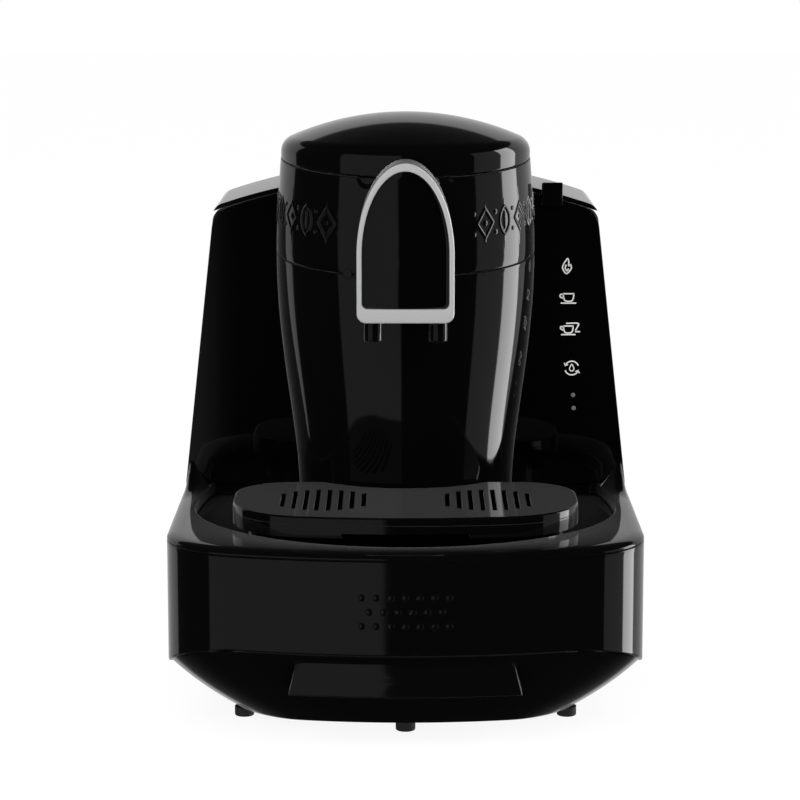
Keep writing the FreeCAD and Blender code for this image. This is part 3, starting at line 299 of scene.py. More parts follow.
# several closed skins as one list of points and faces
def joinParts(parts):
    points, faces, start = [], [], 0
    for partPoints, partFaces in parts:
        points.append(partPoints)
        faces += [[start + i for i in face] for face in partFaces]
        start += len(partPoints)
    return np.concatenate(points), faces


# loops in mm straight to a finished piece
def loftPiece(name, loops, body, slotName, joinEnds=False, bevel=0.0, angle=40.0):
    points, faces = loftParts(loops, joinEnds)
    return addPiece(name, points * mm, faces, body, slotName, bevel, angle)


# smooth step from 0 at low to 1 at high: 3t squared less 2t cubed
def smooth(value, low, high):
    t = np.clip((value - low) / (high - low), 0, 1)
    return t * t * (3 - 2 * t)


# plan outline of the base: wide front arc, front corners, straight sides, rear corners
base = {"half": 125.0, "frontY": -134.1, "rearY": 135.0, "arc": 330.0, "corner": 48.0, "rearCorner": 24.0,
        "drawerEndY": -62.0, "drawerTopZ": 99.7, "deckZ": 103.8, "creaseFrontZ": 50.6, "creaseSideZ": 33.0,
        "creaseBend": 12.5, "creaseFall": 59.0, "creaseGap": 0.6, "seam": 0.45, "wall": 2.5}


# right half: arc, corner circle tangent to it, side, rear corner, back edge; then its mirror image
def planLoop(half, frontY, arc, corner, rearY, rearCorner, z=0.0):
    centreY = frontY + arc
    cornerX = half - corner
    cornerY = centreY - math.sqrt((arc - corner) ** 2 - cornerX ** 2)
    lean = math.asin(cornerX / (arc - corner))
    a = np.linspace(0, lean, 90)[:-1]
    b = np.linspace(lean, math.pi / 2, 50)[:-1]
    c = np.linspace(0, 1, 110)[:-1]
    d = np.linspace(math.pi / 2, math.pi, 24)[:-1]
    e = np.linspace(1, 0, 24)
    backX = half - rearCorner
    x = np.concatenate([arc * np.sin(a), cornerX + corner * np.sin(b), half + 0 * c,
                        backX + rearCorner * np.sin(d), backX * e])
    y = np.concatenate([centreY - arc * np.cos(a), cornerY - corner * np.cos(b),
                        cornerY + (rearY - rearCorner - cornerY) * c,
                        rearY - rearCorner - rearCorner * np.cos(d), rearY + 0 * e])
    x = np.concatenate([x, -x[-2:0:-1]])
    y = np.concatenate([y, y[-2:0:-1]])
    return np.stack([x, y, np.zeros_like(x) + z], -1)


# the base outline moved inwards by an inset
def baseLoop(inset, z=0.0):
    return planLoop(base["half"] - inset, base["frontY"] + inset, base["arc"] - inset, base["corner"] - inset,
                    base["rearY"] - inset, max(base["rearCorner"] - inset, 2.0), z)


# height of the crease: level in front, falling round the corner, level at the side
def creaseZ(y):
    return np.interp(y, [base["frontY"] + base["creaseBend"], base["frontY"] + base["creaseFall"]],
                     [base["creaseFrontZ"], base["creaseSideZ"]])


# lower hull: outlines blended through three heights, kept inside the walls above, thin shell
bowl = {"z": (5.0, 19.0, 53.0), "insetSide": (32.5, 14.5, -12.0), "insetFront": (37.3, 24.5, -1.6),
        "rows": 44, "levels": 60, "opening": 16.0, "rimGap": 0.3}


# outline of the bowl at a height: side and front insets are parabolas through the three heights
def bowlLoop(z, extra):
    side = np.polyval(np.polyfit(bowl["z"], bowl["insetSide"], 2), z) + extra
    front = np.polyval(np.polyfit(bowl["z"], bowl["insetFront"], 2), z) + extra
    return planLoop(base["half"] - side, base["frontY"] + front, base["arc"] - front, base["corner"],
                    base["rearY"] - side, base["rearCorner"], z)


# polar radius of a loop about the origin, at the bearings of the base outline
def polarRadius(loop, bearings):
    own = np.arctan2(loop[:, 0], -loop[:, 1])
    order = np.argsort(own)
    return np.interp(bearings, own[order], np.hypot(loop[:, 0], loop[:, 1])[order], period=2 * math.pi)


# rows of the hull from the bottom to the rim: the smaller of the bowl's radius and the wall's
def hullLoops(extra, lowZ):
    outline = baseLoop(extra)
    bearings = np.arctan2(outline[:, 0], -outline[:, 1])
    wallRadius = np.hypot(outline[:, 0], outline[:, 1])
    rim = np.where(outline[:, 1] < base["drawerEndY"], creaseZ(outline[:, 1]) - base["creaseGap"],
                   base["creaseSideZ"] - bowl["rimGap"])
    levels = np.linspace(bowl["z"][0], bowl["z"][2], bowl["levels"])
    table = np.array([polarRadius(bowlLoop(z, extra), bearings) for z in levels])
    columns = np.arange(len(bearings))
    loops = []
    for share in np.linspace(0, 1, bowl["rows"]):
        z = lowZ + share * (rim - lowZ)
        place = (z - levels[0]) / (levels[-1] - levels[0]) * (len(levels) - 1)
        low = np.clip(place.astype(int), 0, len(levels) - 2)
        part = place - low
        radius = table[low, columns] * (1 - part) + table[low + 1, columns] * part
        radius = np.minimum(radius, wallRadius)
        loops.append(np.stack([radius * np.sin(bearings), -radius * np.cos(bearings), z], -1))
    return loops


outside = hullLoops(0.0, bowl["z"][0])
inside = hullLoops(base["wall"], bowl["z"][0] + base["wall"])
baseHole = bowlLoop(bowl["z"][0], bowl["opening"])
baseHoleTop = baseHole + [0, 0, base["wall"]]
hullParts = [loftParts([baseHoleTop, baseHole] + outside + inside[::-1], True)]

# apron: a raised panel under the drawer, on the same front arc, with two rounded upper corners
apron = {"topZ": 46.0, "bottomZ": 28.0, "topHalf": 55.3, "bottomHalf": 59.8, "inset": 2.6, "corner": 4.0,
         "depth": 16.0, "edge": 0.7, "face": (0.9, 0.7, 0.45, 0.2, 0.02)}


# flat outline: trapezoid with quarter circles at its two upper corners
def apronOutline(shrink):
    low = apron["bottomZ"] + shrink
    high = apron["topZ"] - shrink
    corner = apron["corner"]
    z = np.concatenate([np.linspace(low, high - corner, 14)[:-1],
                        high - corner + corner * np.sin(np.linspace(0, math.pi / 2, 10))])
    lean = (apron["bottomHalf"] - apron["topHalf"]) / (apron["topZ"] - apron["bottomZ"])
    half = apron["bottomHalf"] - shrink - lean * (z - apron["bottomZ"])
    rounding = np.clip(z - (high - corner), 0, corner)
    half = half - (corner - np.sqrt(np.clip(corner ** 2 - rounding ** 2, 0, None)))
    across = np.linspace(-1, 1, 61)
    top = np.stack([half[-1] * across[::-1], high + 0 * across], -1)
    bottom = np.stack([half[0] * across, low + 0 * across], -1)
    right = np.stack([half, z], -1)
    left = np.stack([-half[::-1], z[::-1]], -1)
    return np.concatenate([bottom[:-1], right[:-1], top[:-1], left[:-1]])


# a flat outline laid on the cylinder of the front arc, a depth behind its face
def apronLoop(outline, depth):
    radius = base["arc"] - apron["inset"] - depth
    y = base["frontY"] + base["arc"] - np.sqrt(radius ** 2 - outline[:, 0] ** 2)
    return np.stack([outline[:, 0], y, outline[:, 1]], -1)


apronLoops = [apronLoop(apronOutline(0.0), apron["depth"])]
for t in np.linspace(0, math.pi / 2, 5):
    apronLoops.append(apronLoop(apronOutline(apron["edge"] * (1 - math.cos(t))), apron["edge"] * (1 - math.sin(t))))
apronFace = apronOutline(apron["edge"])
apronMiddle = np.array([0.0, (apron["topZ"] + apron["bottomZ"]) / 2])
apronLoops += [apronLoop(apronMiddle + (apronFace - apronMiddle) * scale, 0.0) for scale in apron["face"]]
hullParts.append(loftParts(apronLoops))
points, faces = joinParts(hullParts)
hull = addPiece("lowerHull", points * mm, faces, "root", "hull_black")
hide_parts("base_shell")
print("lower hull and apron", len(faces), "faces")

# drawer front: the band between crease and deck, rounded along its upper and lower edges
drawer = {"wall": 3.0, "edge": 0.8, "rows": 30, "innerRows": 8, "dotRadius": 1.9, "dotRise": 0.873,
          "dotSunk": 0.6984, "dotPitch": 7.4, "dotAround": 28, "rowZ": (80.9, 73.5, 66.1), "rowCounts": (7, 6, 7)}


# cut a full outline down to its part in front of the drawer's end
def frontPart(loop):
    half = len(loop) // 2
    right = loop[:half + 1]
    right = right[right[:, 1] <= base["drawerEndY"]]
    right = np.concatenate([right, [[right[-1, 0], base["drawerEndY"], 0.0]]])
    left = right[:0:-1] * [-1, 1, 1]
    return np.concatenate([left, right])


outer = frontPart(baseLoop(0.0))
normalX = np.gradient(outer[:, 1])
normalY = -np.gradient(outer[:, 0])
length = np.hypot(normalX, normalY)
normal = np.stack([normalX / length, normalY / length, 0 * length], -1)
lowZ = creaseZ(outer[:, 1])


# the outline moved inwards along its own normal, at a height
def bandRow(inset, z):
    row = outer - normal * inset
    row[:, 2] = z
    return row


# the band's section, row by row: lower edge, face, upper edge, inner side
sections = []
rounding = drawer["edge"]
quarter = np.linspace(0, math.pi / 2, 5)
for t in quarter:
    sections.append(bandRow(rounding * (1 - math.sin(t)), lowZ + rounding * (1 - math.cos(t))))
for share in np.linspace(0, 1, drawer["rows"])[1:-1]:
    sections.append(bandRow(0.0, lowZ + rounding + share * (base["drawerTopZ"] - 2 * rounding - lowZ)))
for t in quarter:
    sections.append(bandRow(rounding * (1 - math.cos(t)), base["drawerTopZ"] - rounding * (1 - math.sin(t))))
for share in np.linspace(1, 0, drawer["innerRows"]):
    sections.append(bandRow(drawer["wall"], lowZ + share * (base["drawerTopZ"] - lowZ)))

# dots: quarter ellipses turned about the front arc's normal, sunk a little into the face
dotParts = [loftParts(np.stack(sections, 1))]
turn = np.linspace(0, 2 * math.pi, drawer["dotAround"], endpoint=False)
dotProfile = [(drawer["dotRadius"], -drawer["dotSunk"])]
dotProfile += [(drawer["dotRadius"] * math.sin(t), drawer["dotRise"] * math.cos(t))
               for t in np.linspace(math.pi / 2, 0.02, 9)]
for z, count in zip(drawer["rowZ"], drawer["rowCounts"]):
    for x in (np.arange(count) - (count - 1) / 2) * drawer["dotPitch"]:
        skinY = base["frontY"] + base["arc"] - math.sqrt(base["arc"] ** 2 - x ** 2)
        slope = x / base["arc"]
        dotParts.append(loftParts([np.stack([x + radius * np.cos(turn) + out * slope,
                                             skinY + radius * np.cos(turn) * slope - out,
                                             z + radius * np.sin(turn)], -1) for radius, out in dotProfile]))
points, faces = joinParts(dotParts)
drawerFront = addPiece("drawerBand", points * mm, faces, "waste_drawer", "body_black")
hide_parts("drawer_front")
print("drawer front and", len(dotParts) - 1, "grip dots")

# deck: side walls behind the drawer, rounded shoulder, crowned strip, rim, wall and floor of the drip well
deck = {"wellHalf": 114.6, "wellFront": 106.0, "wellRear": 177.0, "wellY": -12.0, "wellEndY": 48.8,
        "floorZ": 97.0, "crownWide": 9.0, "crownHigh": 3.3, "rim": 1.0, "flareRise": 14.0, "flareFrom": 4.0,
        "flareTo": 46.0, "flarePower": 2.6, "flareInner": 113.5, "flareOuter": 121.0, "under": 2.6,
        "ceiling": 6.5, "lowEdge": 0.25, "lowGap": 0.3, "cove": 1.4, "coveZ": 98.4,
        "stripInsets": (0.0, 0.12, 0.3, 0.6, 1.0, 1.6, 2.4, 3.4, 4.6, 6.0, 7.5),
        "wallZ": (101.0, 99.5, 98.6), "floorScales": (0.9, 0.6, 0.3, 0.02)}
plan = baseLoop(0.0)
bearing = np.arctan2(plan[:, 0], -(plan[:, 1] - deck["wellY"]))


# outline of the well: two half ellipses in polar form, cut off straight at the shields
def wellLoop(grow, z):
    wide = deck["wellHalf"] + grow
    reach = np.where(np.cos(bearing) > 0, deck["wellFront"] + grow, deck["wellRear"] + grow)
    radius = 1 / np.sqrt((np.sin(bearing) / wide) ** 2 + (np.cos(bearing) / reach) ** 2)
    depth = deck["wellEndY"] + grow - deck["wellY"]
    limit = np.where(np.cos(bearing) < -0.01, depth / np.clip(-np.cos(bearing), 0.01, None), 1e6)
    radius = np.minimum(radius, limit)
    x = radius * np.sin(bearing)
    y = deck["wellY"] - radius * np.cos(bearing)
    return np.stack([x, y, np.zeros_like(x) + z], -1)


# rise of the strip into the foot of each wing: a power of the way back, faded towards the well and the side
def flare(loop, inset):
    along = np.clip((loop[:, 1] - deck["flareFrom"]) / (deck["flareTo"] - deck["flareFrom"]), 0, 1)
    inFront = loop[:, 1] <= deck["flareTo"] + 0.2
    across = smooth(np.abs(loop[:, 0]), deck["flareInner"], deck["flareOuter"]) * smooth(inset, 0.0, 3.0)
    return deck["flareRise"] * along ** deck["flarePower"] * inFront * across


# the base outline with an inset, at heights that may differ along it
def deckLoop(inset, z):
    loop = baseLoop(inset)
    loop[:, 2] = z
    return loop


# the well's floor outline shrunk about the well's centre
def floorLoop(scale, drop=0.0):
    centre = np.array([0.0, deck["wellY"], 0.0])
    return (wellLoop(-deck["cove"], deck["floorZ"]) - centre) * [scale, scale, 1] + centre - [0, 0, drop]


behindDrawer = plan[:, 1] >= base["drawerEndY"] + 0.3
wallLow = np.where(behindDrawer, base["creaseSideZ"] + deck["lowGap"], base["drawerTopZ"] + base["seam"])
shoulderZ = base["deckZ"] - deck["crownHigh"]
deckLoops = [floorLoop(deck["floorScales"][-1], deck["under"]),
             wellLoop(deck["under"], deck["floorZ"] - deck["under"]),
             deckLoop(base["wall"], np.maximum(wallLow, base["deckZ"] - deck["ceiling"])),
             deckLoop(base["wall"], wallLow),
             deckLoop(deck["lowEdge"], wallLow),
             deckLoop(0.0, wallLow + deck["lowEdge"]),
             deckLoop(0.0, np.maximum(wallLow + deck["lowGap"], shoulderZ - 0.2))]
for inset in deck["stripInsets"]:
    t = min(inset / deck["crownWide"], 1.0)
    strip = deckLoop(inset, shoulderZ + deck["crownHigh"] * math.sqrt(1 - (1 - t) ** 2))
    strip[:, 2] += flare(strip, inset)
    deckLoops.append(strip)
for t in np.linspace(0, math.pi / 2, 5):
    deckLoops.append(wellLoop(deck["rim"] * (1 - math.sin(t)), base["deckZ"] - deck["rim"] * (1 - math.cos(t))))
deckLoops += [wellLoop(0.0, z) for z in deck["wallZ"]]
deckLoops += [wellLoop(-deck["cove"] * (1 - math.cos(t)), deck["coveZ"] - deck["cove"] * math.sin(t))
              for t in np.linspace(0.2, math.pi / 2, 5)]
deckLoops += [floorLoop(scale) for scale in deck["floorScales"]]
deckPiece = loftPiece("upperDeck", deckLoops, "root", "body_black")
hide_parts("base_housing", "deck_flare_left", "deck_flare_right")
print("deck and drip well")

# tower: radius at a height by a quartic through five driving sizes, tilted seams, softly flattened back
tower = {"axisY": 32.0, "backY": 84.0, "floorZ": 97.0, "lowerSeam": 238.4, "lidSeam": 290.5, "tilt": 5.1,
         "wall": 2.5, "seamGap": 0.6, "edge": 0.5, "around": 360, "seamRadius": 70.0,
         "profileZ": (97.0, 158.0, 242.4, 292.5, 315.0), "profileRadius": (59.5, 64.6, 71.3, 68.5, 66.7)}
profileFit = np.polyfit(tower["profileZ"], tower["profileRadius"], 4)


# quartic in the height
def towerRadius(z):
    return np.polyval(profileFit, z)


# height of a seam, a plane tilted about the tower's axis
def seamZ(z, y):
    return z + (y - tower["axisY"]) * math.tan(math.radians(tower["tilt"]))


# point on the tower: circle of the profile's radius, and a log-sum that keeps y below the flat back
def towerPoint(angle, radius, inset):
    x = radius * np.sin(angle)
    y = tower["axisY"] - radius * np.cos(angle)
    flatY = tower["backY"] - inset
    return x, flatY - np.logaddexp(0, flatY - y)


# shell between two seam heights: outside up, over the rounded rims, inside down, joined underneath
def towerLoops(lowZ, highZ, shares, lowTilt=True, around=None, relief=None):
    around = around or tower["around"]
    angle = np.linspace(-np.pi, np.pi, around, endpoint=False)[None, :]
    share = np.asarray(shares)[:, None]
    edgeSize = tower["edge"]
    y0 = towerPoint(angle, tower["seamRadius"], 0)[1]
    low = seamZ(lowZ, y0) if lowTilt else lowZ + 0 * y0
    high = seamZ(highZ, y0)
    z = low + share * (high - low)
    fromEnd = np.minimum(z - low, high - z)
    inEdge = np.clip(edgeSize - fromEnd, 0, edgeSize)
    rounding = edgeSize - np.sqrt(edgeSize ** 2 - inEdge ** 2)
    radius = towerRadius(z) - rounding
    if relief is not None:
        radius = radius + relief(angle, z, y0)
    x, y = towerPoint(angle, radius, rounding)
    innerShare = np.array([1.0, 0.66, 0.33, 0.0])[:, None]
    innerZ = low + innerShare * (high - low)
    innerX, innerY = towerPoint(angle, towerRadius(innerZ) - tower["wall"], tower["wall"])
    outerRows = np.stack(np.broadcast_arrays(x, y, z), -1)
    innerRows = np.stack(np.broadcast_arrays(innerX, innerY, innerZ), -1)
    return np.concatenate([outerRows, innerRows], 0)


# even shares of a height, with a few close together at each rounded end
def evenShares(count, total):
    ends = tower["edge"] / total * (1 - np.cos(np.linspace(0, np.pi / 2, 5)))
    return np.unique(np.concatenate([ends, np.linspace(0, 1, count)[1:-1], 1 - ends]))


barrelLoops = towerLoops(tower["floorZ"], tower["lowerSeam"], evenShares(60, 140.0), False)
barrel = loftPiece("towerBarrel", barrelLoops, "root", "body_black", True)
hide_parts("tower_shell")
print("tower barrel")

# raised band of the collar: lozenges with a bead, and almond leaves, in turn round the tower
band = {"pitch": 14.4, "start": 31.0, "end": 112.0, "centre": 26.0, "half": 7.6, "line": 0.62, "rise": 0.5,
        "lozengeWide": 5.3, "leafRadius": 9.2, "beadRadius": 1.2, "dotUp": 5.4, "dotRadius": 0.35,
        "notches": ((-21.0, 4.2), (21.0, 3.2)), "notchDeep": 1.5, "notchLow": 6.0, "radius": 70.0,
        "around": 1240}


# height of the relief: distance to the nearest drawn line, turned into a rounded ridge
def bandHeight(angle, z, y):
    arc = np.abs(angle) * band["radius"]
    up = z - seamZ(tower["lowerSeam"] + band["centre"], y)
    first = math.radians(band["start"]) * band["radius"] + band["pitch"] / 2
    last = math.radians(band["end"]) * band["radius"]
    index = np.round((arc - first) / band["pitch"])
    across = np.abs(arc - first - index * band["pitch"])
    inBand = (index >= 0) & (arc < last)
    a, b = band["lozengeWide"], band["half"]
    lozenge = np.abs(across / a + np.abs(up) / b - 1) * a * b / math.hypot(a, b)
    bead = np.clip(np.hypot(across, up) - band["beadRadius"] + band["line"], 0, None)
    lozenge = np.minimum(lozenge, bead)
    r = band["leafRadius"]
    offset = math.sqrt(r ** 2 - b ** 2)
    leaf = np.abs(np.hypot(across + offset, up) - r)
    vein = np.maximum(across, np.abs(up) - b * 0.55)
    leaf = np.minimum(leaf, vein)
    dots = np.hypot(across - band["pitch"] / 2, np.abs(up) - band["dotUp"])
    near = np.minimum(np.where(index % 2 == 0, lozenge, leaf), np.clip(dots - band["dotRadius"], 0, None))
    ridge = smooth(-near, -band["line"] * 1.5, -band["line"] * 0.4)
    relief = np.where(inBand, band["rise"] * ridge, 0)
    x = band["radius"] * np.sin(angle)
    below = seamZ(tower["lidSeam"], y) - z
    for centre, half in band["notches"]:
        shape = np.hypot((x - centre) / (half + 1.5), below / band["notchLow"])
        relief = relief - np.where(np.cos(angle) > 0, band["notchDeep"] * smooth(-shape, -1.0, -0.6), 0)
    return relief


bandShares = np.unique(np.concatenate([evenShares(12, 50.0), np.linspace(0.33, 0.66, 44),
                                       np.linspace(0.86, 0.98, 8)]))
collarLoops = towerLoops(tower["lowerSeam"] + tower["seamGap"], tower["lidSeam"], bandShares, True,
                         band["around"], bandHeight)
loftPiece("collarBand", collarLoops, "root", "body_black", True)

# hinge behind the tower: two ears on the collar, one knuckle on the lid
hinge = {"y": 87.0, "z": 297.5, "radius": 2.6, "bore": 1.48, "earX": 27.0, "earLength": 10.0,
         "earReach": -9.0, "lidReach": 4.5, "gap": 0.5, "edge": 0.2, "webNear": 1.6, "webSunk": 0.8}


# barrel with a bore, as six rings joined into one skin, and the web that carries it
def knuckleParts(x0, x1, reach):
    turnX = np.linspace(0, 2 * math.pi, 40, endpoint=False)
    bore, radius, rim = hinge["bore"], hinge["radius"], hinge["edge"]
    rings = [np.stack([x + 0 * turnX, hinge["y"] + r * np.cos(turnX), hinge["z"] + r * np.sin(turnX)], -1)
             for x, r in ((x0, bore), (x0, radius - rim), (x0 + rim, radius),
                          (x1 - rim, radius), (x1, radius - rim), (x1, bore))]
    near = hinge["z"] + np.sign(reach) * hinge["webNear"]
    far = hinge["z"] + reach
    wallY = tower["backY"] - hinge["webSunk"]
    web = [[(x, wallY, near), (x, hinge["y"] - 0.4, near), (x, tower["backY"] + 0.6, far), (x, wallY, far)]
           for x in (x0 + 0.1, x1 - 0.1)]
    return [loftParts(rings, True), loftParts(web)]


earParts = []
for side in (-1, 1):
    x = side * hinge["earX"]
    earParts += knuckleParts(x - hinge["earLength"] / 2, x + hinge["earLength"] / 2, hinge["earReach"])
points, faces = joinParts(earParts)
ears = addPiece("hingeEars", points * mm, faces, "root", "body_black")
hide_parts("tower_collar")
half = hinge["earX"] - hinge["earLength"] / 2 - hinge["gap"]
points, faces = joinParts(knuckleParts(-half, half, hinge["lidReach"]))
addPiece("lidKnuckle", points * mm, faces, "brew_lid", "body_black")
print("collar band, ears and knuckle")

# lid: skirt from the tilted seam, shoulder bend, shallow crown; inside, the same profile one wall smaller
lid = {"skirt": 68.5, "crown": 159.0, "bend": 9.0, "topZ": 315.0, "wall": 2.4, "edge": 0.6, "skirtRows": 34,
       "crownRows": 40}


# skirt cylinder, then a circle of the bend's radius tangent to it and to the crown's sphere, then the sphere
def lidLoops(inset, lowZ, edgeSize):
    angle = np.linspace(-np.pi, np.pi, tower["around"], endpoint=False)[None, :]
    skirt = lid["skirt"] - inset
    crown = lid["crown"] - inset
    bend = lid["bend"] - inset
    ballZ = lid["topZ"] - lid["crown"]
    bendZ = ballZ + math.sqrt((crown - bend) ** 2 - (skirt - bend) ** 2)
    touchR = (skirt - bend) * crown / (crown - bend)
    touchZ = ballZ + (bendZ - ballZ) * crown / (crown - bend)
    y0 = towerPoint(angle, skirt, inset)[1]
    low = np.minimum(seamZ(lowZ, y0), touchZ - 0.5)
    edgeShares = edgeSize / 14 * (1 - np.cos(np.linspace(0, 1.57, 5)))
    share = np.unique(np.concatenate([np.linspace(0, 1, lid["skirtRows"]), edgeShares]))
    z = low + share[:, None] * (touchZ - low)
    over = np.clip(z - bendZ, 0, None)
    radius = skirt - bend + np.sqrt(np.clip(bend ** 2 - over ** 2, 0, None))
    if edgeSize > 0:
        fromEnd = np.clip(edgeSize - (z - low), 0, edgeSize)
        radius = radius - (edgeSize - np.sqrt(edgeSize ** 2 - fromEnd ** 2))
    x, y = towerPoint(angle, radius, inset)
    skirtRows = np.stack(np.broadcast_arrays(x, y, z), -1)
    r = touchR * np.sin(np.linspace(math.pi / 2, 0.004, lid["crownRows"]))[1:, None]
    x, y = towerPoint(angle, r + 0 * angle, inset)
    crownZ = ballZ + np.sqrt(crown ** 2 - r ** 2) + 0 * angle
    crownRows = np.stack(np.broadcast_arrays(x, y, crownZ), -1)
    return np.concatenate([skirtRows, crownRows], 0)


outside = lidLoops(0.0, tower["lidSeam"] + tower["seamGap"], lid["edge"])
inside = lidLoops(lid["wall"], tower["lidSeam"] + tower["seamGap"], 0.0)
domeLoops = np.concatenate([inside[::-1], outside], 0)
lidDome = loftPiece("lidDome", domeLoops, "brew_lid", "body_black", False, 0.0, 30.0)
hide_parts("brew_lid")
print("lid dome")

# arch of the spout nose: straight sides, half ellipse on top, rounded lower corners
nose = {"half": 25.4, "bottomZ": 211.8, "arcZ": 247.0, "topZ": 294.7, "corner": 5.0, "frontY": -70.0,
        "frameDepth": 4.5, "frameSide": 2.6, "frameTop": 3.9, "frameBottom": 7.3, "innerCorner": 3.0,
        "edge": 0.8, "innerEdge": 0.5, "panelY": -68.9, "panelGap": 0.12, "panelCrown": 110.0,
        "panelThick": 3.0, "panelMiddleZ": 250.0, "lidGap": 1.5, "lidFrom": 289.0, "lidY": -36.0, "sunk": 0.9,
        "panelScales": (1.0, 0.92, 0.8, 0.65, 0.5, 0.35, 0.2, 0.1, 0.02)}


# half ellipse above two straight sides, with a quarter circle in each lower corner
def archLoop(inset, y, side=0.0, top=0.0, bottom=0.0, corner=None):
    half = nose["half"] - inset - side
    bottomZ = nose["bottomZ"] + inset + bottom
    topZ = nose["topZ"] - inset - top
    corner = max((nose["corner"] if corner is None else corner) - inset, 0.6)
    a = np.linspace(0, math.pi, 121)
    oval = np.stack([half * np.cos(a), nose["arcZ"] + (topZ - nose["arcZ"]) * np.sin(a)], -1)
    b = np.linspace(math.pi, 1.5 * math.pi, 13)
    left = np.stack([-half + corner + corner * np.cos(b), bottomZ + corner + corner * np.sin(b)], -1)
    right = left[::-1] * [-1, 1]
    c = np.linspace(0, 1, 14)[1:-1, None]
    downLeft = oval[-1] + (left[0] - oval[-1]) * c
    foot = left[-1] + (right[0] - left[-1]) * np.linspace(0, 1, 41)[1:-1, None]
    upRight = right[-1] + (oval[0] - right[-1]) * c
    flat = np.concatenate([oval, downLeft, left, foot, right, upRight])
    return np.stack([flat[:, 0], np.zeros(len(flat)) + y, flat[:, 1]], -1)


backY = nose["frontY"] + nose["frameDepth"]
opening = {"side": nose["frameSide"], "top": nose["frameTop"], "bottom": nose["frameBottom"],
           "corner": nose["innerCorner"]}
frontY = nose["frontY"]
trimLoops = [archLoop(0.0, backY)]
trimLoops += [archLoop(nose["edge"] * (1 - math.cos(t)), frontY + nose["edge"] * (1 - math.sin(t)))
              for t in np.linspace(0, math.pi / 2, 7)]
trimLoops += [archLoop(-nose["innerEdge"] * (1 - math.sin(t)), frontY + nose["innerEdge"] * (1 - math.cos(t)),
                       **opening) for t in np.linspace(0, math.pi / 2, 6)]
trimLoops.append(archLoop(0.0, backY, **opening))
trim = loftPiece("archTrim", trimLoops, "root", "satin_silver", True, 0.0, 50.0)
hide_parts("arch_frame")


# panel in the arch: the opening's outline shrunk by a scale, on a cylinder crowned across
def panelLoop(scale, depth, inset=0.0):
    loop = archLoop(nose["panelGap"] + inset, 0.0, **opening)
    middle = np.array([0.0, 0.0, nose["panelMiddleZ"]])
    loop = middle + (loop - middle) * [scale, 1, scale]
    sag = nose["panelCrown"] - np.sqrt(nose["panelCrown"] ** 2 - loop[:, 0] ** 2)
    loop[:, 1] = nose["panelY"] + depth + sag
    return loop


panelLoops = [panelLoop(0.02, nose["panelThick"]), panelLoop(1.0, nose["panelThick"]), panelLoop(1.0, 0.4),
              panelLoop(1.0, 0.1, 0.12)]
panelLoops += [panelLoop(scale, 0.0, 0.4) for scale in nose["panelScales"]]
archPanel = loftPiece("archPanel", panelLoops, "root", "panel_black")
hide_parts("arch_panel")

# body of the nose: the arch carried back to the tower, kept clear of the lid
outline = archLoop(0.0, 0.0)
onTower = towerRadius(outline[:, 2]) - nose["sunk"]
clear = towerRadius(outline[:, 2]) + nose["lidGap"]
lidStart = seamZ(nose["lidFrom"], nose["lidY"])
overLid = smooth(outline[:, 2], lidStart - 1.5, lidStart + 0.5)
reach = onTower * (1 - overLid) + clear * overLid
noseLoops = [archLoop(1.2, backY), archLoop(0.35, backY + 0.02), archLoop(0.0, backY + 0.5)]
for share in (0.2, 0.4, 0.6, 0.8, 1.0):
    loop = outline.copy()
    endY = tower["axisY"] - np.sqrt(reach ** 2 - outline[:, 0] ** 2)
    loop[:, 1] = backY + 0.5 + share * (endY - backY - 0.5)
    noseLoops.append(loop)
noseBody = loftPiece("noseBody", noseLoops, "root", "body_black")
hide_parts("spout_housing")
print("arch trim, panel and nose body")

# shields: flat gloss panels beside the tower, slanted outside, crowned on top
wing = {"footHalf": 124.6, "topHalf": 107.4, "crownZ": 280.0, "crownRadius": 320.0, "drop": 3.0,
        "corner": 8.8, "frontY": 46.0, "backY": 48.8, "gap": 0.4, "edge": 1.8, "innerTopZ": 270.5}


# height of the crown, a circle about the middle
def crownZ(x):
    return wing["crownZ"] - wing["crownRadius"] + np.sqrt(wing["crownRadius"] ** 2 - x ** 2) - wing["drop"]


# outline of the right shield: along the tower, along the crown, round the corner, down the slanted side
def shieldOutline():
    lowZ = base["deckZ"]
    topX = wing["topHalf"]
    topZ = float(crownZ(topX))
    footX = wing["footHalf"]
    z = np.linspace(lowZ, wing["innerTopZ"], 90)
    depth = wing["frontY"] - tower["axisY"]
    innerX = np.sqrt((towerRadius(z) + wing["gap"]) ** 2 - depth ** 2)
    z = np.where(z > crownZ(innerX), crownZ(innerX), z)
    innerSide = np.stack([innerX, z], -1)
    sideDir = np.array([footX - topX, lowZ - topZ])
    sideDir = sideDir / np.hypot(*sideDir)
    x = np.linspace(innerX[-1], topX - wing["corner"], 40)[1:]
    crown = np.stack([x, crownZ(x)], -1)
    cornerStart = crown[-1]
    cornerEnd = np.array([topX, topZ]) + sideDir * wing["corner"]
    t = np.linspace(0, 1, 14)[1:-1, None]
    corner = (1 - t) ** 2 * cornerStart + 2 * t * (1 - t) * np.array([topX, topZ]) + t ** 2 * cornerEnd
    side = cornerEnd + (np.array([footX, lowZ]) - cornerEnd) * np.linspace(0, 1, 30)[:, None]
    return np.concatenate([innerSide, crown, corner, side])


shield = shieldOutline()
for name, sign in (("shieldRight", 1), ("shieldLeft", -1)):
    loops = [np.stack([sign * shield[:, 0], level + 0 * shield[:, 0], shield[:, 1]], -1)
             for level in (wing["backY"], wing["frontY"])]
    plate = loftPiece(name, loops, "root", "panel_black", False, wing["edge"])
    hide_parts("shield_right" if sign > 0 else "shield_left")
print("shields")

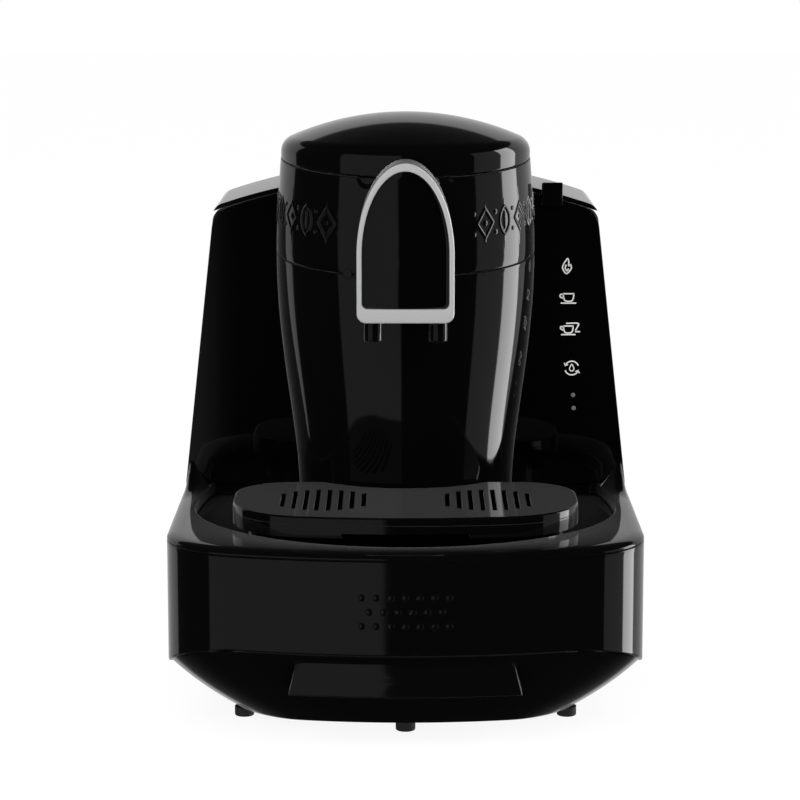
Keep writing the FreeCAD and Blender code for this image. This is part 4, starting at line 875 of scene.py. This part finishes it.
# printed pictograms and two lamp lenses on the right shield
prints = {"x": 90.5, "topZ": 227.9, "lean": 0.055, "y": 45.98, "thick": 0.06, "line": 0.75,
          "thinLine": 0.6, "flameZ": 227.9, "cupZ": 210.0, "twoCupsZ": 192.4, "rinseZ": 170.2,
          "rinseRadius": 3.9, "lampZ": (154.8, 147.3),
          "lampProfile": ((1.25, -0.3), (1.25, 0.02), (1.1, 0.1), (0.7, 0.16), (0.05, 0.18))}


# ribbon of even width along a flat path, as a closed skin
def ribbonParts(path, closed=False, width=None):
    path = np.asarray(path, dtype=float)
    half = (width or prints["line"]) / 2
    if closed:
        step = np.roll(path, -1, 0) - np.roll(path, 1, 0)
    else:
        step = np.gradient(path, axis=0)
    step = step / np.hypot(step[:, 0], step[:, 1])[:, None]
    side = np.stack([-step[:, 1], step[:, 0]], -1) * half
    front = prints["y"] - prints["thick"]
    corners = []
    for offset, level in ((1, prints["y"]), (1, front), (-1, front), (-1, prints["y"])):
        edgeLine = path + offset * side
        corners.append(np.stack([edgeLine[:, 0], level + 0 * edgeLine[:, 0], edgeLine[:, 1]], -1))
    return loftParts(np.stack(corners, 1), closed)


# centre of a pictogram: the column leans outwards as it goes down
def iconCentre(z):
    return np.array([prints["x"] + (prints["topZ"] - z) * prints["lean"], z])


# smooth curve through a few given points, by Catmull-Rom spans
def curveThrough(points, closed=False, steps=8):
    p = np.asarray(points, dtype=float)
    if closed:
        p = np.concatenate([p[-1:], p, p[:2]])
    else:
        p = np.concatenate([2 * p[:1] - p[1:2], p, 2 * p[-1:] - p[-2:-1]])
    t = np.linspace(0, 1, steps, endpoint=False)[:, None]
    spans = [0.5 * (2 * b + (c - a) * t + (2 * a - 5 * b + 4 * c - d) * t ** 2 + (3 * b - a - 3 * c + d) * t ** 3)
             for a, b, c, d in zip(p[:-3], p[1:-2], p[2:-1], p[3:])]
    curve = np.concatenate(spans)
    return curve if closed else np.concatenate([curve, p[-2:-1]])


# cup in front view: bowl, rim, ear and saucer
def cupParts(centre, size=1.0):
    strokes = ([(-3.0, 2.4), (-2.7, 0.2), (-1.7, -1.7), (1.7, -1.7), (2.7, 0.2), (3.0, 2.4)],
               [(-3.2, 2.4), (3.2, 2.4)],
               [(-2.9, 1.7), (-4.5, 2.0), (-4.7, 0.7), (-2.6, -0.4)],
               [(-4.4, -2.9), (4.4, -2.9)])
    return [ribbonParts(curveThrough(np.array(centre) + np.array(stroke) * size)) for stroke in strokes]


flame = iconCentre(prints["flameZ"])
flameLine = [(0.2, 4.3), (-1.9, 1.2), (-2.5, -1.2), (-0.4, -4.1), (2.2, -1.6), (2.0, 0.9), (0.9, 0.2), (0.9, 2.3)]
tongueLine = [(-0.5, 0.9), (-1.1, -1.1), (0.1, -2.6), (0.8, -1.2)]
iconParts = [ribbonParts(curveThrough(flame + flameLine, True), True), ribbonParts(curveThrough(flame + tongueLine))]
iconParts += cupParts(iconCentre(prints["cupZ"]))
pair = iconCentre(prints["twoCupsZ"])
iconParts += cupParts(pair + [-0.9, -0.5], 0.92)
iconParts += [ribbonParts(curveThrough(pair + [(-2.2, 3.2), (4.4, 3.2), (4.2, 1.2), (3.0, -0.8)])),
              ribbonParts(pair + [(2.9, -1.5), (4.2, -1.5), (5.6, -1.5)])]
rinse = iconCentre(prints["rinseZ"])
for start in (0.35, 0.35 + math.pi):
    a = np.linspace(start, start + 2.3, 20)
    iconParts.append(ribbonParts(rinse + prints["rinseRadius"] * np.stack([np.cos(a), np.sin(a)], -1)))
    tip = rinse + prints["rinseRadius"] * np.array([math.cos(start + 2.5), math.sin(start + 2.5)])
    heading = np.array([-math.sin(start + 2.4), math.cos(start + 2.4)])
    across = np.array([heading[1], -heading[0]])
    arrow = [tip - heading * 1.5 + across * 1.2, tip - heading * 0.1, tip - heading * 1.5 - across * 1.2]
    iconParts.append(ribbonParts(arrow, False, prints["thinLine"]))
dropLine = [(0, 2.1), (-1.1, 0.2), (-1.1, -1.0), (0, -1.8), (1.1, -1.0), (1.1, 0.2)]
iconParts.append(ribbonParts(curveThrough(rinse + dropLine, True), True, prints["thinLine"]))
points, faces = joinParts(iconParts)
icons = addPiece("shieldPrints", points * mm, faces, "root", "lamp_lens")
icons.data.materials.clear()
icons.data.materials.append(printInk)
lensParts = []
turn = np.linspace(0, 2 * math.pi, 32, endpoint=False)
for z in prints["lampZ"]:
    cx, cz = iconCentre(z)
    lensParts.append(loftParts([np.stack([cx + r * np.cos(turn), prints["y"] - out + 0 * turn,
                                          cz + r * np.sin(turn)], -1) for r, out in prints["lampProfile"]]))
points, faces = joinParts(lensParts)
addPiece("lampLenses", points * mm, faces, "root", "lamp_lens")
print("pictograms and lamp lenses")

# small round plug on the lower seam, left of the nose: a turned profile about the tower's outward direction
plug = {"x": -31.0, "towerZ": 238.0, "rise": 0.4,
        "profile": ((2.9, -1.6), (2.9, 0.2), (2.75, 0.35), (2.45, 0.35), (2.3, 0.1), (1.6, 0.12), (0.8, 0.16),
                    (0.04, 0.18))}
plugRadius = towerRadius(plug["towerZ"])
plugY = tower["axisY"] - math.sqrt(plugRadius ** 2 - plug["x"] ** 2)
plugPlace = np.array([plug["x"], plugY, seamZ(tower["lowerSeam"], plugY) + plug["rise"]])
outward = np.array([plug["x"], plugY - tower["axisY"], 0.0]) / plugRadius
sideways = np.array([-outward[1], outward[0], 0.0])
plugLoops = [plugPlace + outward * out + np.outer(np.cos(turn) * r, sideways) + np.outer(np.sin(turn) * r, [0, 0, 1])
             for r, out in plug["profile"]]
loftPiece("seamPlug", plugLoops, "root", "body_black")
print("seam plug")

# camera at the photograph's viewing angle
view = {"y": -1.4934, "z": 0.4131, "pitch": 9.63, "lens": 124.43, "shiftX": -0.0069}
camera = bpy.data.objects.new("camera", bpy.data.cameras.new("camera"))
scene.collection.objects.link(camera)
scene.camera = camera
camera.location = (0, view["y"], view["z"])
camera.rotation_euler = (math.radians(90 - view["pitch"]), 0, 0)
camera.data.lens = view["lens"]
camera.data.sensor_width = 36.0
camera.data.shift_x = view["shiftX"]
camera.data.clip_start = 0.05
camera.data.clip_end = 50.0

# plain pale floor
floor = bpy.data.objects.new("floor", bpy.data.meshes.new("floor"))
floor.data.from_pydata([(-8, -8, 0), (8, -8, 0), (8, 8, 0), (-8, 8, 0)], [], [(0, 1, 2, 3)])
scene.collection.objects.link(floor)
floorMat, graph, shader = newMaterial("floorWhite")
shader.inputs["Base Color"].default_value = (0.9, 0.9, 0.9, 1)
shader.inputs["Roughness"].default_value = 0.35
bright = graph.node("ShaderNodeEmission", None, {"Color": (1, 1, 1, 1), "Strength": 1.06})
shadowed = graph.node("ShaderNodeMixShader", None, {0: 0.86, 1: Wire(graph, shader.outputs[0]), 2: bright})
graph.put(graph.tree.nodes["Material Output"].inputs["Surface"], shadowed)
floor.data.materials.append(floorMat)
floor.visible_glossy = False

# studio: white sweep behind, dark room in front; each panel has two bearings in degrees and a strength
studio = {"white": 0.5, "whiteFrom": 121.0, "room": 0.004, "soft": 0.7, "top": 0.47, "bottom": -0.55,
          "matt": 0.75,
          "panels": [(-62.0, -4.2, 0.24), (66.0, 98.0, 0.3), (98.0, 121.0, 4.6)]}
world = bpy.data.worlds.new("studio")
scene.world = world
world.use_nodes = True
graph = Graph(world.node_tree)
backdrop = world.node_tree.nodes["Background"]
direction = graph.node("ShaderNodeTexCoord", out=0)
axes = graph.tree.nodes.new("ShaderNodeSeparateXYZ")
graph.put(axes.inputs[0], direction)
dx, dy, dz = (Wire(graph, axes.outputs[i]) for i in range(3))
bearing = graph.maths("ARCTAN2", dx, dy * -1.0) * (180 / math.pi)
turned = graph.maths("ABSOLUTE", bearing)
level = studio["room"] + graph.step(turned, studio["whiteFrom"] - 1, studio["whiteFrom"] + 1) * studio["white"]
for left, right, strength in studio["panels"]:
    soft = studio["soft"]
    mask = graph.step(bearing, left - soft, left + soft) * (1.0 - graph.step(bearing, right - soft, right + soft))
    level = level + mask * strength
upright = graph.step(dz, studio["bottom"] - 0.06, studio["bottom"] + 0.06)
level = level * upright * (1.0 - graph.step(dz, studio["top"] - 0.02, studio["top"] + 0.02))
rays = graph.tree.nodes.new("ShaderNodeLightPath")
toCamera = Wire(graph, rays.outputs["Is Camera Ray"])
toGloss = Wire(graph, rays.outputs["Is Glossy Ray"])
lit = toGloss * level + (1.0 - toGloss) * studio["matt"]
strength = toCamera + (1.0 - toCamera) * lit
backdrop.inputs["Color"].default_value = (1, 1, 1, 1)
graph.put(backdrop.inputs["Strength"], strength)

# two soft lamps, kept out of reflections
lamps = {"keyLamp": ((-0.9, -1.1, 1.5), 16.0), "fillLamp": ((1.1, -0.8, 1.3), 13.0)}
for lampName, (place, power) in lamps.items():
    lamp = bpy.data.objects.new(lampName, bpy.data.lights.new(lampName, "AREA"))
    lamp.data.size = 0.9
    lamp.data.energy = power
    lamp.location = place
    lamp.rotation_euler = (Vector((0, 0, 0.15)) - Vector(place)).to_track_quat("-Z", "Y").to_euler()
    lamp.visible_glossy = False
    scene.collection.objects.link(lamp)

scene.view_settings.view_transform = "Standard"
